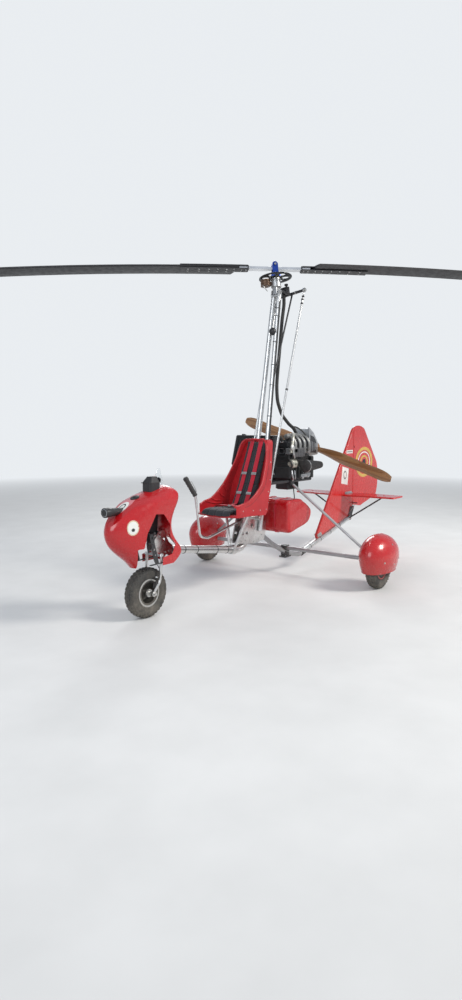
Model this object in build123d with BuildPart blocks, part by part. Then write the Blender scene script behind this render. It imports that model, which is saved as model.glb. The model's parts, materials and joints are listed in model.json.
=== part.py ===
from build123d import *
from math import cos, degrees, radians, sin
import os

os.makedirs("parts", exist_ok=True)

# Gyrocopter: millimetres, +X towards the nose, +Y to port (left), +Z up.
# The origin is on the ground below the rotor hub.

# Stance on the ground
wheel_base = 1869
track = 1952
main_axle_x = -156
nose_axle_x = main_axle_x + wheel_base
axle_y = track / 2

# Wheels
tyre_r = 188.5
tyre_w = 94
tread_w = 66
rim_r = 102
bead_w = 62
flange_h = 10
flange_t = 4
hub_r = 30
hub_w = 74
web_t = 8
axle_pin_r = 10
running_clearance = 0.08

# Keel, mast foot and tail boom
keel_r = 32
keel_front_x = 1552
keel_front_z = 488
keel_bend_x = 576
keel_bend_z = 338
keel_bend_radius = 180
keel_top_x = 285
keel_top_z = 519
rear_keel_r = 22
boom_r = 25
boom_start = (-470, 159)
boom_end = (-1452, 400)
splice_r = 31
splice_half = 34

# Mast: two tubes, raked aft, spread towards the foot
mast_r = 21.5
mast_foot_z = 480
mast_top_z = 2582
mast_foot_x = 350
mast_top_x = 24
mast_foot_y = 66
mast_top_y = 28.5
foot_plate_t = 12
yoke_x = 430
yoke_z = 605
yoke_r = 13

# Rotor head, resting on its forward and right-hand stops
head_pitch = 3
head_roll = 8
gimbal_x = 18
gimbal_z = 2627
gimbal_to_teeter = 250
undersling = 34
rotor_azimuth = 134
teeter_stop = 9
ring_gear_r = 150
ring_gear_t = 8
ring_gear_teeth = 72
ring_gear_drop = 112
housing_r = 44
housing_h = 78
housing_gap = 6
shaft_r = 15
cheek_gap = 26
cheek_t = 11
teeter_bolt_r = 7

# Rotor blades
rotor_r = 3800
blade_root = 330
blade_chord = 205
blade_t = 24
blade_droop_radius = 32000
bar_half = 325
bar_w = 62
bar_t = 22
strap_start = 250
strap_end = 860
strap_t = 7
strap_w = 92
root_slant = 60

# Propeller
prop_x = -655
prop_z = 1198
prop_r = 894
prop_hub_r = 62
prop_hub_t = 46
spigot_r = 14
prop_angle = 18.3

# Undercarriage
axle_r = 19
axle_z = 246
jack_pad_z = 158
wheel_offset = 90
drop_plate_y = axle_y - wheel_offset
drop_plate_t = 10
brace_r = 12
brace_top = (-95, 125, 868)
brace_low = (main_axle_x, drop_plate_y + 1, 286)

# Wheel pants
pant_half_l = 256
pant_half_w = 150
pant_top_z = 480
pant_wide_z = 292
pant_rim_z = 156
pant_rim_half_l = 222
pant_rim_half_w = 118
pant_t = 4
pant_x = main_axle_x - 6

# Nose fork and steering
steer_rake = 17
steer_x = 1618
steer_z = 470
steer_head_r = 24
steer_head_h = 120
steerer_r = 14
fork_leg_r = 11
fork_leg_y = 76
fork_boss_r = 20
fork_boss_t = 24
tow_pin_y = 106
crown_t = 20
steer_limit = 25

# Nose pod
pod_t = 4
pod_shoulder_x = 1700
hump_x = 1645
hump_l = 112
hump_w = 94
lamp_z = 822
stay_y = 100

# Seat
seat_half_w = 215
seat_top_half_w = 140
seat_top_z = 1296
seat_taper_z = 900
seat_lip_x = 893
wing_t = 16
pad_half_w = 118
back_pad_front = [(550, 716), (535, 757), (457, 912), (391, 1069), (324, 1236), (304, 1288)]

# Engine group
rail_z = 900
rail_r = 14
rail_rear_x = -450
cable_r = 16

# Fuel tank
tank_front_x = 238
tank_half_w = 290

# Tail
fin_t = 30
rudder_t = 26
hinge_x = -1512
hinge_gap = 5.5
rudder_low_z = 532
upper_hinge_z = 1180
lug_r = 10
lug_t = 12
pintle_r = 5
stabiliser_z = 662
stabiliser_half = 600


def lerp(a, b, t):
    return a + (b - a) * t


def mast_x(z):
    """Centre of the mast tubes, fore and aft, at a height."""
    return lerp(mast_foot_x, mast_top_x, (z - mast_foot_z) / (mast_top_z - mast_foot_z))


def mast_y(z):
    """Half the distance between the mast tubes' centres, at a height."""
    return lerp(mast_foot_y, mast_top_y, (z - mast_foot_z) / (mast_top_z - mast_foot_z))


rail_y = mast_y(rail_z) + mast_r + rail_r


def bar(points, radius, bends=None):
    """A round tube or bar along straight runs joined by tangent bends."""
    with BuildPart() as piece:
        with BuildLine() as route:
            if len(points) == 2:
                Line(*points)
            else:
                FilletPolyline(*points, radius=bends)
        with BuildSketch(Plane(origin=route.line @ 0, z_dir=route.line % 0)):
            Circle(radius)
        sweep()
    return piece.part


def plate(points, y_low, y_high, fillet_r=0):
    """A flat plate cut to an outline in X and Z, between two values of Y."""
    with BuildPart() as piece:
        with BuildSketch(Plane.XZ.offset(-y_high)) as outline:
            with BuildLine():
                Polyline(*points, close=True)
            make_face()
            if fillet_r:
                fillet(outline.vertices(), fillet_r)
        extrude(amount=y_high - y_low)
    return piece.part


# Wheels. A plane across the wheel has its x along the axle and its y up.
def across_wheel(x, y):
    return Plane(origin=(x, y, tyre_r), x_dir=(0, 1, 0), z_dir=(1, 0, 0))


def tyre(x, y):
    side_mid = (rim_r + flange_h + tyre_r) / 2
    with BuildPart() as piece:
        with BuildSketch(across_wheel(x, y)):
            with BuildLine():
                Line((-bead_w / 2, rim_r), (bead_w / 2, rim_r))
                Line((bead_w / 2, rim_r), (bead_w / 2, rim_r + flange_h + 1))
                ThreePointArc(
                    (bead_w / 2, rim_r + flange_h + 1),
                    (tyre_w / 2, side_mid + 4),
                    (tread_w / 2, tyre_r - 9),
                )
                ThreePointArc((tread_w / 2, tyre_r - 9), (0, tyre_r), (-tread_w / 2, tyre_r - 9))
                ThreePointArc(
                    (-tread_w / 2, tyre_r - 9),
                    (-tyre_w / 2, side_mid + 4),
                    (-bead_w / 2, rim_r + flange_h + 1),
                )
                Line((-bead_w / 2, rim_r + flange_h + 1), (-bead_w / 2, rim_r))
            make_face()
        revolve(axis=Axis((x, y, tyre_r), (0, 1, 0)))
    return piece.part


def rim(x, y, disc_side=0):
    """Rim, web and hub in one casting, with a brake disc on one side of the nose wheel."""
    bore_r = axle_pin_r + running_clearance
    well_r = rim_r - 14
    with BuildPart() as piece:
        with BuildSketch(across_wheel(x, y)):
            with BuildLine():
                Polyline(
                    (-hub_w / 2, bore_r),
                    (hub_w / 2, bore_r),
                    (hub_w / 2, hub_r),
                    (web_t / 2, hub_r + 6),
                    (web_t / 2, well_r),
                    (bead_w / 2 + flange_t, well_r + 4),
                    (bead_w / 2 + flange_t, rim_r + flange_h),
                    (bead_w / 2, rim_r + flange_h),
                    (bead_w / 2, rim_r),
                    (-bead_w / 2, rim_r),
                    (-bead_w / 2, rim_r + flange_h),
                    (-bead_w / 2 - flange_t, rim_r + flange_h),
                    (-bead_w / 2 - flange_t, well_r + 4),
                    (-web_t / 2, well_r),
                    (-web_t / 2, hub_r + 6),
                    (-hub_w / 2, hub_r),
                    close=True,
                )
            make_face()
        revolve(axis=Axis((x, y, tyre_r), (0, 1, 0)))
        with BuildSketch(Plane.XZ.offset(-y - web_t)):
            with Locations((x, tyre_r)):
                with PolarLocations((hub_r + well_r) / 2 + 3, 5):
                    Circle(14)
        extrude(amount=2 * web_t, mode=Mode.SUBTRACT)
        if disc_side:
            with BuildSketch(Plane.XZ.offset(-y - disc_side * (hub_w / 2 - 8))):
                with Locations((x, tyre_r)):
                    Circle(78)
                    Circle(hub_r - 4, mode=Mode.SUBTRACT)
            extrude(amount=2, both=True)
    return piece.part


for name, wheel_x, wheel_y in (
    ("nose", nose_axle_x, 0),
    ("main_left", main_axle_x, axle_y),
    ("main_right", main_axle_x, -axle_y),
):
    wheel_tyre = tyre(wheel_x, wheel_y)
    wheel_tyre.label = f"{name}_tyre"
    export_step(wheel_tyre, f"parts/{name}_tyre.step")
    wheel_rim = rim(wheel_x, wheel_y, disc_side=1 if name == "nose" else 0)
    wheel_rim.label = f"{name}_rim"
    export_step(wheel_rim, f"parts/{name}_rim.step")


# Keel: the big tube runs aft from the nose and turns up to the mast foot.
with BuildPart() as keel_front:
    with BuildLine() as keel_line:
        FilletPolyline(
            (keel_front_x, 0, keel_front_z),
            (keel_bend_x, 0, keel_bend_z),
            (keel_top_x, 0, keel_top_z),
            radius=keel_bend_radius,
        )
    with BuildSketch(Plane(origin=keel_line.line @ 0, z_dir=keel_line.line % 0)):
        Circle(keel_r)
    sweep()
keel_front.part.label = "keel_front"
export_step(keel_front.part, "parts/keel_front.step")

boom_dx = boom_end[0] - boom_start[0]
boom_dz = boom_end[1] - boom_start[1]
boom_length = (boom_dx ** 2 + boom_dz ** 2) ** 0.5
boom_dir = Vector(boom_dx, 0, boom_dz).normalized()
boom_root = Vector(boom_start[0], 0, boom_start[1])

# The rear keel leaves the foot plates on a cross sleeve, dips below the axle and meets the boom.
with BuildPart() as keel_rear:
    with BuildLine() as rear_line:
        FilletPolyline(
            (345, 0, 402),
            (236, 0, 420),
            (80, 0, 322),
            (main_axle_x - 4, 0, 196),
            tuple(boom_root - boom_dir * 75),
            tuple(boom_root),
            radius=[90, 150, 240, 110],
        )
    with BuildSketch(Plane(origin=rear_line.line @ 0, z_dir=rear_line.line % 0)):
        Circle(rear_keel_r)
    sweep()
    add(bar([(310, -keel_r, 406), (310, keel_r, 406)], 9))
keel_rear.part.label = "keel_rear"
export_step(keel_rear.part, "parts/keel_rear.step")

with BuildPart() as tail_boom:
    with BuildSketch(Plane(origin=boom_root, z_dir=boom_dir)):
        Circle(boom_r)
    extrude(amount=boom_length)
tail_boom.part.label = "tail_boom"
export_step(tail_boom.part, "parts/tail_boom.step")

with BuildPart() as boom_splice:
    with BuildSketch(Plane(origin=boom_root, z_dir=boom_dir)):
        Circle(splice_r)
        Circle(boom_r, mode=Mode.SUBTRACT)
    extrude(amount=splice_half)
    with BuildSketch(Plane(origin=boom_root, z_dir=-boom_dir)):
        Circle(splice_r)
        Circle(rear_keel_r, mode=Mode.SUBTRACT)
    extrude(amount=splice_half)
boom_splice.part.label = "boom_splice"
export_step(boom_splice.part, "parts/boom_splice.step")


# Mast
mast_tubes = [
    bar(
        [
            (mast_foot_x, side * mast_foot_y, mast_foot_z),
            (mast_top_x, side * mast_top_y, mast_top_z),
        ],
        mast_r,
    )
    for side in (1, -1)
]
with BuildPart() as mast:
    add(mast_tubes)
mast.part.label = "mast"
export_step(mast.part, "parts/mast.step")

# Foot plates hold the front keel, the rear keel and the mast's feet.
foot_outline = [
    (636, 400),
    (590, 541),
    (558, 638),
    (404, 642),
    (330, 600),
    (tank_front_x, 548),
    (tank_front_x, 470),
    (262, 392),
    (400, 372),
]
# columns: x, z and radius of each round hole through both plates
foot_holes = [(yoke_x, yoke_z, yoke_r), (450, 540, 18), (560, 575, 14), (520, 480, 15), (576, 482, 12)]
foot_plates = [
    plate(foot_outline, low, high, 14)
    for low, high in ((keel_r, keel_r + foot_plate_t), (-keel_r - foot_plate_t, -keel_r))
]
with BuildPart() as mast_foot:
    add(foot_plates)
    with BuildSketch(Plane.XZ.offset(-keel_r - foot_plate_t)):
        for hole_x, hole_z, hole_r in foot_holes:
            with Locations((hole_x, hole_z)):
                Circle(hole_r)
    extrude(amount=2 * (keel_r + foot_plate_t), mode=Mode.SUBTRACT)
    add(mast_tubes, mode=Mode.SUBTRACT)
mast_foot.part.label = "mast_foot"
export_step(mast_foot.part, "parts/mast_foot.step")


# Main axle with its drop plates and wheel spindles
def drop_plate(side):
    low = min(side * drop_plate_y, side * (drop_plate_y + drop_plate_t))
    outline = [
        (main_axle_x - 32, axle_z - 90),
        (main_axle_x + 32, axle_z - 90),
        (main_axle_x + 32, axle_z + 30),
        (main_axle_x + 16, axle_z + 68),
        (main_axle_x - 16, axle_z + 68),
        (main_axle_x - 32, axle_z + 30),
    ]
    return plate(outline, low, low + drop_plate_t, 8)


spindle_end_y = axle_y + hub_w / 2 + 12
drop_plates = [drop_plate(1), drop_plate(-1)]
spindles = [
    bar(
        [
            (main_axle_x, side * (drop_plate_y + drop_plate_t), tyre_r),
            (main_axle_x, side * spindle_end_y, tyre_r),
        ],
        axle_pin_r,
    )
    for side in (1, -1)
]
with BuildPart() as main_axle:
    with BuildSketch(Plane.XZ.offset(-drop_plate_y)):
        with Locations((main_axle_x, axle_z)):
            Circle(axle_r)
    extrude(amount=2 * drop_plate_y)
    add(drop_plates)
    add(spindles)
main_axle.part.label = "main_axle"
export_step(main_axle.part, "parts/main_axle.step")

# An axle clamp on a flat foot, open to the keel above
saddle_top_z = axle_z + axle_r + 7
with BuildPart() as axle_saddle:
    with BuildSketch(Plane.XY.offset(jack_pad_z)):
        with Locations((main_axle_x, 0)):
            RectangleRounded(112, 76, 12)
    extrude(amount=14)
    with BuildSketch(Plane.XY.offset(jack_pad_z + 14)):
        with Locations((main_axle_x, 0)):
            RectangleRounded(76, 60, 14)
    extrude(amount=saddle_top_z - jack_pad_z - 14)
    add(keel_rear.part, mode=Mode.SUBTRACT)
    add(main_axle.part, mode=Mode.SUBTRACT)
axle_saddle.part.label = "axle_saddle"
export_step(axle_saddle.part, "parts/axle_saddle.step")

# A brace on each side runs from the axle's end up to the engine rails.
brace_bars = [
    bar(
        [
            (brace_low[0], side * brace_low[1], brace_low[2]),
            (brace_top[0], side * brace_top[1], brace_top[2]),
        ],
        brace_r,
    )
    for side in (1, -1)
]
with BuildPart() as axle_braces:
    add(brace_bars)
    add(main_axle.part, mode=Mode.SUBTRACT)
axle_braces.part.label = "axle_braces"
export_step(axle_braces.part, "parts/axle_braces.step")


# Wheel pants: half an ellipsoid over sides that draw in to an open rim.
def pant_solid(y, shrink):
    half_l = pant_half_l - shrink
    half_w = pant_half_w - shrink
    height = pant_top_z - pant_wide_z - shrink
    dome = scale(Sphere(1, mode=Mode.PRIVATE), by=(half_l, half_w, height))
    dome = Pos(pant_x, y, pant_wide_z) * dome
    with BuildPart() as piece:
        add(dome)
        split(bisect_by=Plane.XY.offset(pant_wide_z), keep=Keep.TOP)
        with BuildSketch(Plane.XY.offset(pant_wide_z)):
            with Locations((pant_x, y)):
                Ellipse(half_l, half_w)
        with BuildSketch(Plane.XY.offset(lerp(pant_wide_z, pant_rim_z, 0.5))):
            with Locations((pant_x, y)):
                Ellipse(
                    lerp(half_l, pant_rim_half_l - shrink, 0.32),
                    lerp(half_w, pant_rim_half_w - shrink, 0.32),
                )
        with BuildSketch(Plane.XY.offset(pant_rim_z)):
            with Locations((pant_x, y)):
                Ellipse(pant_rim_half_l - shrink, pant_rim_half_w - shrink)
        loft()
    return piece.part


for name, side in (("left", 1), ("right", -1)):
    outer = pant_solid(side * axle_y, 0)
    inner = pant_solid(side * axle_y, pant_t)
    brace_hole = bar(
        [
            (brace_low[0], side * brace_low[1], brace_low[2]),
            (brace_top[0], side * brace_top[1], brace_top[2]),
        ],
        brace_r + 3,
    )
    axle_hole = bar(
        [
            (main_axle_x, side * (axle_y - pant_half_w - 40), axle_z),
            (main_axle_x, side * drop_plate_y, axle_z),
        ],
        axle_r,
    )
    with BuildPart() as pant:
        add(outer)
        add(inner, mode=Mode.SUBTRACT)
        with BuildSketch(Plane.XY.offset(pant_rim_z - 10)):
            with Locations((pant_x, side * axle_y)):
                Rectangle(2 * pant_half_l, 2 * pant_half_w)
        extrude(amount=10 + 0.5, mode=Mode.SUBTRACT)
        add(brace_hole, mode=Mode.SUBTRACT)
        add(axle_hole, mode=Mode.SUBTRACT)
    pant.part.label = f"wheel_pant_{name}"
    export_step(pant.part, f"parts/wheel_pant_{name}.step")


# Nose fork on a raked steering head
steer_dir = Vector(-sin(radians(steer_rake)), 0, cos(radians(steer_rake)))
steer_base = Vector(steer_x, 0, steer_z)
crown_base = steer_base - steer_dir * (crown_t + 1)
leg_top = crown_base + steer_dir * crown_t / 2

fork_legs = [
    bar(
        [
            (leg_top.X, side * fork_leg_y, leg_top.Z),
            (leg_top.X + 22, side * fork_leg_y, 268),
            (nose_axle_x, side * fork_leg_y, tyre_r),
        ],
        fork_leg_r,
        60,
    )
    for side in (1, -1)
]
with BuildPart() as nose_fork:
    with BuildSketch(Plane(origin=crown_base, x_dir=(0, 1, 0), z_dir=steer_dir)):
        SlotOverall(2 * fork_leg_y + 34, 44)
    extrude(amount=crown_t)
    with BuildSketch(Plane(origin=crown_base + steer_dir * crown_t, z_dir=steer_dir)):
        Circle(steerer_r)
    extrude(amount=steer_head_h + 14)
    add(fork_legs)
    for side in (1, -1):
        with BuildSketch(Plane.XZ.offset(-side * fork_leg_y - fork_boss_t / 2)):
            with Locations((nose_axle_x, tyre_r)):
                Circle(fork_boss_r)
        extrude(amount=fork_boss_t)
    with BuildSketch(Plane.XZ.offset(-tow_pin_y)):
        with Locations((nose_axle_x, tyre_r)):
            Circle(axle_pin_r)
    extrude(amount=2 * tow_pin_y)
nose_fork.part.label = "nose_fork"
export_step(nose_fork.part, "parts/nose_fork.step")

# Steering head: a tube on the steering axis between two pierced plates
head_top = steer_base + steer_dir * steer_head_h
head_outline = [
    (1468, 440),
    (1512, 440),
    (1520, 448),
    (1658, 490),
    (1662, 560),
    (1612, 640),
    (1560, 640),
    (1500, 540),
    (1458, 510),
]
head_plates = [
    plate(head_outline, low, low + 6, 10) for low in (keel_r, -keel_r - 6)
]
with BuildPart() as steering_head:
    add(head_plates)
    with BuildSketch(Plane.XZ.offset(-keel_r - 6)):
        with Locations((1600, 600), (1556, 566)):
            Circle(15)
    extrude(amount=2 * (keel_r + 6), mode=Mode.SUBTRACT)
    with BuildSketch(Plane(origin=steer_base, z_dir=steer_dir)):
        Circle(steer_head_r)
    extrude(amount=steer_head_h)
    with BuildSketch(Plane(origin=steer_base + steer_dir * 30, x_dir=(0, 1, 0), z_dir=steer_dir)):
        Rectangle(2 * keel_r, 12)
    extrude(amount=60)
    with BuildSketch(Plane(origin=steer_base, z_dir=steer_dir)):
        Circle(steerer_r + running_clearance)
    extrude(amount=steer_head_h, mode=Mode.SUBTRACT)
    add(keel_front.part, mode=Mode.SUBTRACT)
steering_head.part.label = "steering_head"
export_step(steering_head.part, "parts/steering_head.step")

# Nose pod: a thin shell lofted through level sections under an arched, falling deck,
# open below, with an opening for a foot on each side.
# columns: height, rear end, front end, half width, radius of the rear corners
pod_sections = [
    (394, 1492, 1850, 108, 45),
    (500, 1428, 1972, 120, 50),
    (620, 1535, 2078, 140, 50),
    (730, 1560, 2072, 154, 50),
    (850, 1508, 1936, 160, 50),
    (1000, 1560, 1770, 146, 50),
]
# columns: x, height of the deck's crown, height of its edges
deck_sections = [
    (2120, 690, 640),
    (1985, 800, 745),
    (1890, 868, 780),
    (1730, 930, 831),
    (1545, 976, 764),
    (1400, 900, 690),
]
deck_half_w = 200


def pod_level(rear, front, half_w, corner):
    """One level outline: straight flanks, a half-elliptic nose and a round-cornered rear."""
    diagonal = corner * (1 - 0.5 ** 0.5)
    with BuildSketch() as level:
        with BuildLine():
            EllipticalCenterArc(
                (pod_shoulder_x, 0), front - pod_shoulder_x, half_w, start_angle=-90, arc_size=180
            )
            Line((pod_shoulder_x, half_w), (rear + corner, half_w))
            ThreePointArc(
                (rear + corner, half_w),
                (rear + diagonal, half_w - diagonal),
                (rear, half_w - corner),
            )
            Line((rear, half_w - corner), (rear, -half_w + corner))
            ThreePointArc(
                (rear, -half_w + corner),
                (rear + diagonal, -half_w + diagonal),
                (rear + corner, -half_w),
            )
            Line((rear + corner, -half_w), (pod_shoulder_x, -half_w))
        make_face()
    return level.sketch


def pod_solid(shrink, low_extra):
    """The pod as a solid, its wall drawn in and its foot let down by given amounts."""
    with BuildPart() as under_deck:
        for deck_x, crown_z, edge_z in deck_sections:
            with BuildSketch(Plane.YZ.offset(deck_x)):
                with BuildLine():
                    Polyline(
                        (-deck_half_w, edge_z - shrink),
                        (-deck_half_w, 300),
                        (deck_half_w, 300),
                        (deck_half_w, edge_z - shrink),
                    )
                    ThreePointArc(
                        (deck_half_w, edge_z - shrink),
                        (0, crown_z - shrink),
                        (-deck_half_w, edge_z - shrink),
                    )
                make_face()
        loft()
    with BuildPart() as piece:
        for index, (height, rear, front, half_w, corner) in enumerate(pod_sections):
            with BuildSketch(Plane.XY.offset(height - (low_extra if index == 0 else 0))):
                add(pod_level(rear + shrink, front - shrink, half_w - shrink, corner - shrink))
        loft()
        add(under_deck.part, mode=Mode.INTERSECT)
    return piece.part


pod_outer = pod_solid(0, 0)
pod_inner = pod_solid(pod_t, 2)
foot_opening = [
    (1755, 790),
    (1676, 782),
    (1602, 700),
    (1590, 610),
    (1520, 536),
    (1545, 466),
    (1640, 452),
    (1640, 380),
    (1838, 380),
    (1890, 545),
    (1834, 545),
    (1823, 655),
]
keel_slot = [(1380, 380), (1580, 380), (1580, 580), (1380, 580)]
with BuildPart() as nose_pod:
    add(pod_outer)
    add(pod_inner, mode=Mode.SUBTRACT)
    add(plate(foot_opening, -deck_half_w, deck_half_w, 10), mode=Mode.SUBTRACT)
    add(plate(keel_slot, -46, 46, 10), mode=Mode.SUBTRACT)
nose_pod.part.label = "nose_pod"
export_step(nose_pod.part, "parts/nose_pod.step")

# A pierced strip on each side hangs from a cross bar and ends on a stay rod along the pod's foot.
strip_outline = [(1770, 640), (1736, 640), (1676, 420), (1704, 404), (1728, 450)]
strip_holes = [(1744, 610), (1732, 566), (1720, 522), (1708, 478)]
stay_bar_x = 1753
stay_bar_z = 650
with BuildPart() as pod_stays:
    for side in (1, -1):
        low = min(side * (stay_y - 2), side * (stay_y + 2))
        add(plate(strip_outline, low, low + 4, 6))
    with BuildSketch(Plane.XZ.offset(-stay_y - 10)):
        with Locations(*strip_holes):
            Circle(8)
    extrude(amount=2 * (stay_y + 10), mode=Mode.SUBTRACT)
    add(bar([(stay_bar_x, -200, stay_bar_z), (stay_bar_x, 200, stay_bar_z)], 9))
    for side in (1, -1):
        add(bar([(1860, side * stay_y, 410), (1500, side * stay_y, 414)], 5))
    add(pod_inner, mode=Mode.INTERSECT)

# Inside the pod a flat spine and cross bars carry the shell.
spine_outline = [
    (1596, 610),
    (1640, 600),
    (1780, 622),
    (1950, 680),
    (1950, 770),
    (1620, 850),
    (1580, 830),
]
with BuildPart() as pod_frame:
    add(plate(spine_outline, -8, 8, 10))
    add(bar([(1602, -200, 826), (1602, 200, 826)], 9))
    add(bar([(1900, -200, 720), (1900, 200, 720)], 9))
    add(bar([(1600, -keel_r, 626), (1600, keel_r, 626)], 12))
    add(pod_inner, mode=Mode.INTERSECT)
    add(pod_stays.part)
pod_frame.part.label = "pod_frame"
export_step(pod_frame.part, "parts/pod_frame.step")

with BuildPart() as instrument_hump:
    with BuildSketch(Plane.XY.offset(900)):
        with Locations((hump_x, 0)):
            RectangleRounded(hump_l, hump_w, 24)
    extrude(amount=105)
    with BuildSketch(Plane.XY.offset(1005)):
        with Locations((hump_x, 0)):
            RectangleRounded(hump_l, hump_w, 24)
    with BuildSketch(Plane.XY.offset(1046)):
        with Locations((hump_x - 8, 0)):
            RectangleRounded(hump_l - 42, hump_w - 42, 18)
    loft()
    add(pod_outer, mode=Mode.SUBTRACT)
instrument_hump.part.label = "instrument_hump"
export_step(instrument_hump.part, "parts/instrument_hump.step")

screen_x = hump_x - hump_l / 2 - 22
with BuildPart() as windscreen:
    with BuildSketch(Plane.YZ.offset(screen_x)) as screen_outline:
        with BuildLine():
            Polyline((-44, 930), (44, 930), (44, 1012), (14, 1104), (-6, 1104), (-44, 1030), close=True)
        make_face()
        fillet(screen_outline.vertices().group_by(Axis.Y)[-1], 6)
    extrude(amount=4)
    add(pod_outer, mode=Mode.SUBTRACT)
windscreen.part.label = "windscreen"
export_step(windscreen.part, "parts/windscreen.step")

# A round lamp whose tapered back runs into the deck
lamp_r = 34
lamp_back_x = 1920
lamp_front_x = 2106
with BuildPart() as nose_lamp:
    with BuildSketch(Plane.YZ.offset(lamp_back_x)):
        with Locations((0, lamp_z)):
            Circle(lamp_r - 14)
    with BuildSketch(Plane.YZ.offset(lamp_front_x - 40)):
        with Locations((0, lamp_z)):
            Circle(lamp_r)
    loft()
    with BuildSketch(Plane.YZ.offset(lamp_front_x - 40)):
        with Locations((0, lamp_z)):
            Circle(lamp_r)
    extrude(amount=40)
    fillet(nose_lamp.edges().group_by(Axis.X)[-1], 24)
    add(pod_outer, mode=Mode.SUBTRACT)
nose_lamp.part.label = "nose_lamp"
export_step(nose_lamp.part, "parts/nose_lamp.step")


# Seat: a bucket cut from one solid by its side view and its front view
seat_side = [
    (seat_lip_x, 664),
    (seat_lip_x, 750),
    (720, 786),
    (610, 848),
    (530, 915),
    (468, 1005),
    (408, 1120),
    (372, 1237),
    (345, seat_top_z),
    (267, seat_top_z),
    (436, 790),
    (446, 690),
    (480, 650),
    (660, 664),
]
seat_hollow = [
    (1000, 690),
    (640, 678),
    (510, 668),
    (470, 700),
    (454, 790),
    (283, seat_top_z + 4),
    (278, 1400),
    (1000, 1400),
]


def seat_front(inset, top_z):
    """The seat seen from the front, drawn in by an inset, as a long bar along X."""
    slope = (seat_half_w - seat_top_half_w) / (seat_top_z - seat_taper_z)
    top_half_w = seat_top_half_w - slope * (top_z - seat_top_z)
    with BuildPart() as piece:
        with BuildSketch(Plane.YZ.offset(200)):
            with BuildLine():
                Polyline(
                    (-seat_half_w + inset, 600),
                    (seat_half_w - inset, 600),
                    (seat_half_w - inset, seat_taper_z),
                    (top_half_w - inset, top_z),
                    (-top_half_w + inset, top_z),
                    (-seat_half_w + inset, seat_taper_z),
                    close=True,
                )
            make_face()
        extrude(amount=800)
        if inset == 0:
            fillet(piece.edges().filter_by(Axis.X).group_by(Axis.Z)[-1], 40)
    return piece.part


with BuildPart() as seat_plan:
    with BuildSketch(Plane.XY.offset(600)) as plan_outline:
        with Locations((seat_lip_x / 2, 0)):
            Rectangle(seat_lip_x, 2 * seat_half_w)
        fillet(plan_outline.vertices().group_by(Axis.X)[-1], 60)
    extrude(amount=800)

with BuildPart() as seat_shell:
    add(plate(seat_side, -seat_half_w, seat_half_w))
    add(seat_front(0, seat_top_z), mode=Mode.INTERSECT)
    add(seat_plan.part, mode=Mode.INTERSECT)
    add(
        plate(seat_hollow, -seat_half_w, seat_half_w) & seat_front(wing_t, seat_top_z + 100),
        mode=Mode.SUBTRACT,
    )
seat_shell.part.label = "seat_shell"
export_step(seat_shell.part, "parts/seat_shell.step")

back_pad_outline = [*back_pad_front, (288, 1288), (458, 790), (474, 716)]
with BuildPart() as seat_back_pad:
    add(plate(back_pad_outline, -pad_half_w, pad_half_w, 4))
seat_back_pad.part.label = "seat_back_pad"
export_step(seat_back_pad.part, "parts/seat_back_pad.step")

# The base pad rolls over the front lip of the pan.
base_pad_outline = [
    (560, 682),
    (seat_lip_x + 1, 692),
    (seat_lip_x + 1, 664),
    (seat_lip_x + 18, 668),
    (seat_lip_x + 22, 692),
    (seat_lip_x + 8, 716),
    (860, 724),
    (640, 716),
    (564, 708),
]
base_pad_half_w = seat_half_w - wing_t - 6
with BuildPart() as seat_base_pad:
    add(plate(base_pad_outline, -base_pad_half_w + 40, base_pad_half_w - 40, 4))
seat_base_pad.part.label = "seat_base_pad"
export_step(seat_base_pad.part, "parts/seat_base_pad.step")

# Shoulder straps lie down the front of the back pad.
strap_gap = 2
harness_t = 4
strap_outline = [(x + strap_gap, z + 3) for x, z in back_pad_front]
strap_outline += [(x + strap_gap + harness_t, z + 5) for x, z in reversed(back_pad_front)]
with BuildPart() as harness:
    for low in (-74, 34):
        add(plate(strap_outline, low, low + 40))
harness.part.label = "harness"
export_step(harness.part, "parts/harness.step")

# A clamp on the keel holds two splayed legs, and two lugs on the foot plates hold the pan's rear.
keel_slope = (keel_front_z - keel_bend_z) / (keel_front_x - keel_bend_x)
clamp_x = 676
clamp_z = keel_bend_z + keel_slope * (clamp_x - keel_bend_x)
seat_legs = [
    bar([(clamp_x, side * 24, clamp_z + 6), (600, side * 130, 690)], 13) for side in (1, -1)
]
rear_lug = [(492, 560), (526, 560), (548, 672), (500, 672)]
lug_low = keel_r + foot_plate_t
with BuildPart() as seat_frame:
    add(
        bar(
            [
                (clamp_x - 28, 0, clamp_z - 28 * keel_slope),
                (clamp_x + 28, 0, clamp_z + 28 * keel_slope),
            ],
            keel_r + 9,
        )
    )
    add(seat_legs)
    add(plate(rear_lug, lug_low, lug_low + 14))
    add(plate(rear_lug, -lug_low - 14, -lug_low))
    add(keel_front.part, mode=Mode.SUBTRACT)
    add(plate(seat_side, -seat_half_w, seat_half_w), mode=Mode.SUBTRACT)
seat_frame.part.label = "seat_frame"
export_step(seat_frame.part, "parts/seat_frame.step")


# Controls: stick, cross tube and two long rods to the rotor head
grip_base = Vector(1132, -20, 862)
grip_top = Vector(1206, -56, 1000)
stick_tube = bar(
    [
        (yoke_x + yoke_r, 0, yoke_z),
        (560, 0, 592),
        (1000, 0, 498),
        (1092, -4, 520),
        tuple(grip_base),
    ],
    10,
    [60, 70, 50],
)
grip = bar([tuple(grip_base), tuple(grip_top)], 17)
with BuildPart() as control_stick:
    add(stick_tube)
    add(grip)
control_stick.part.label = "control_stick"
export_step(control_stick.part, "parts/control_stick.step")

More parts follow.
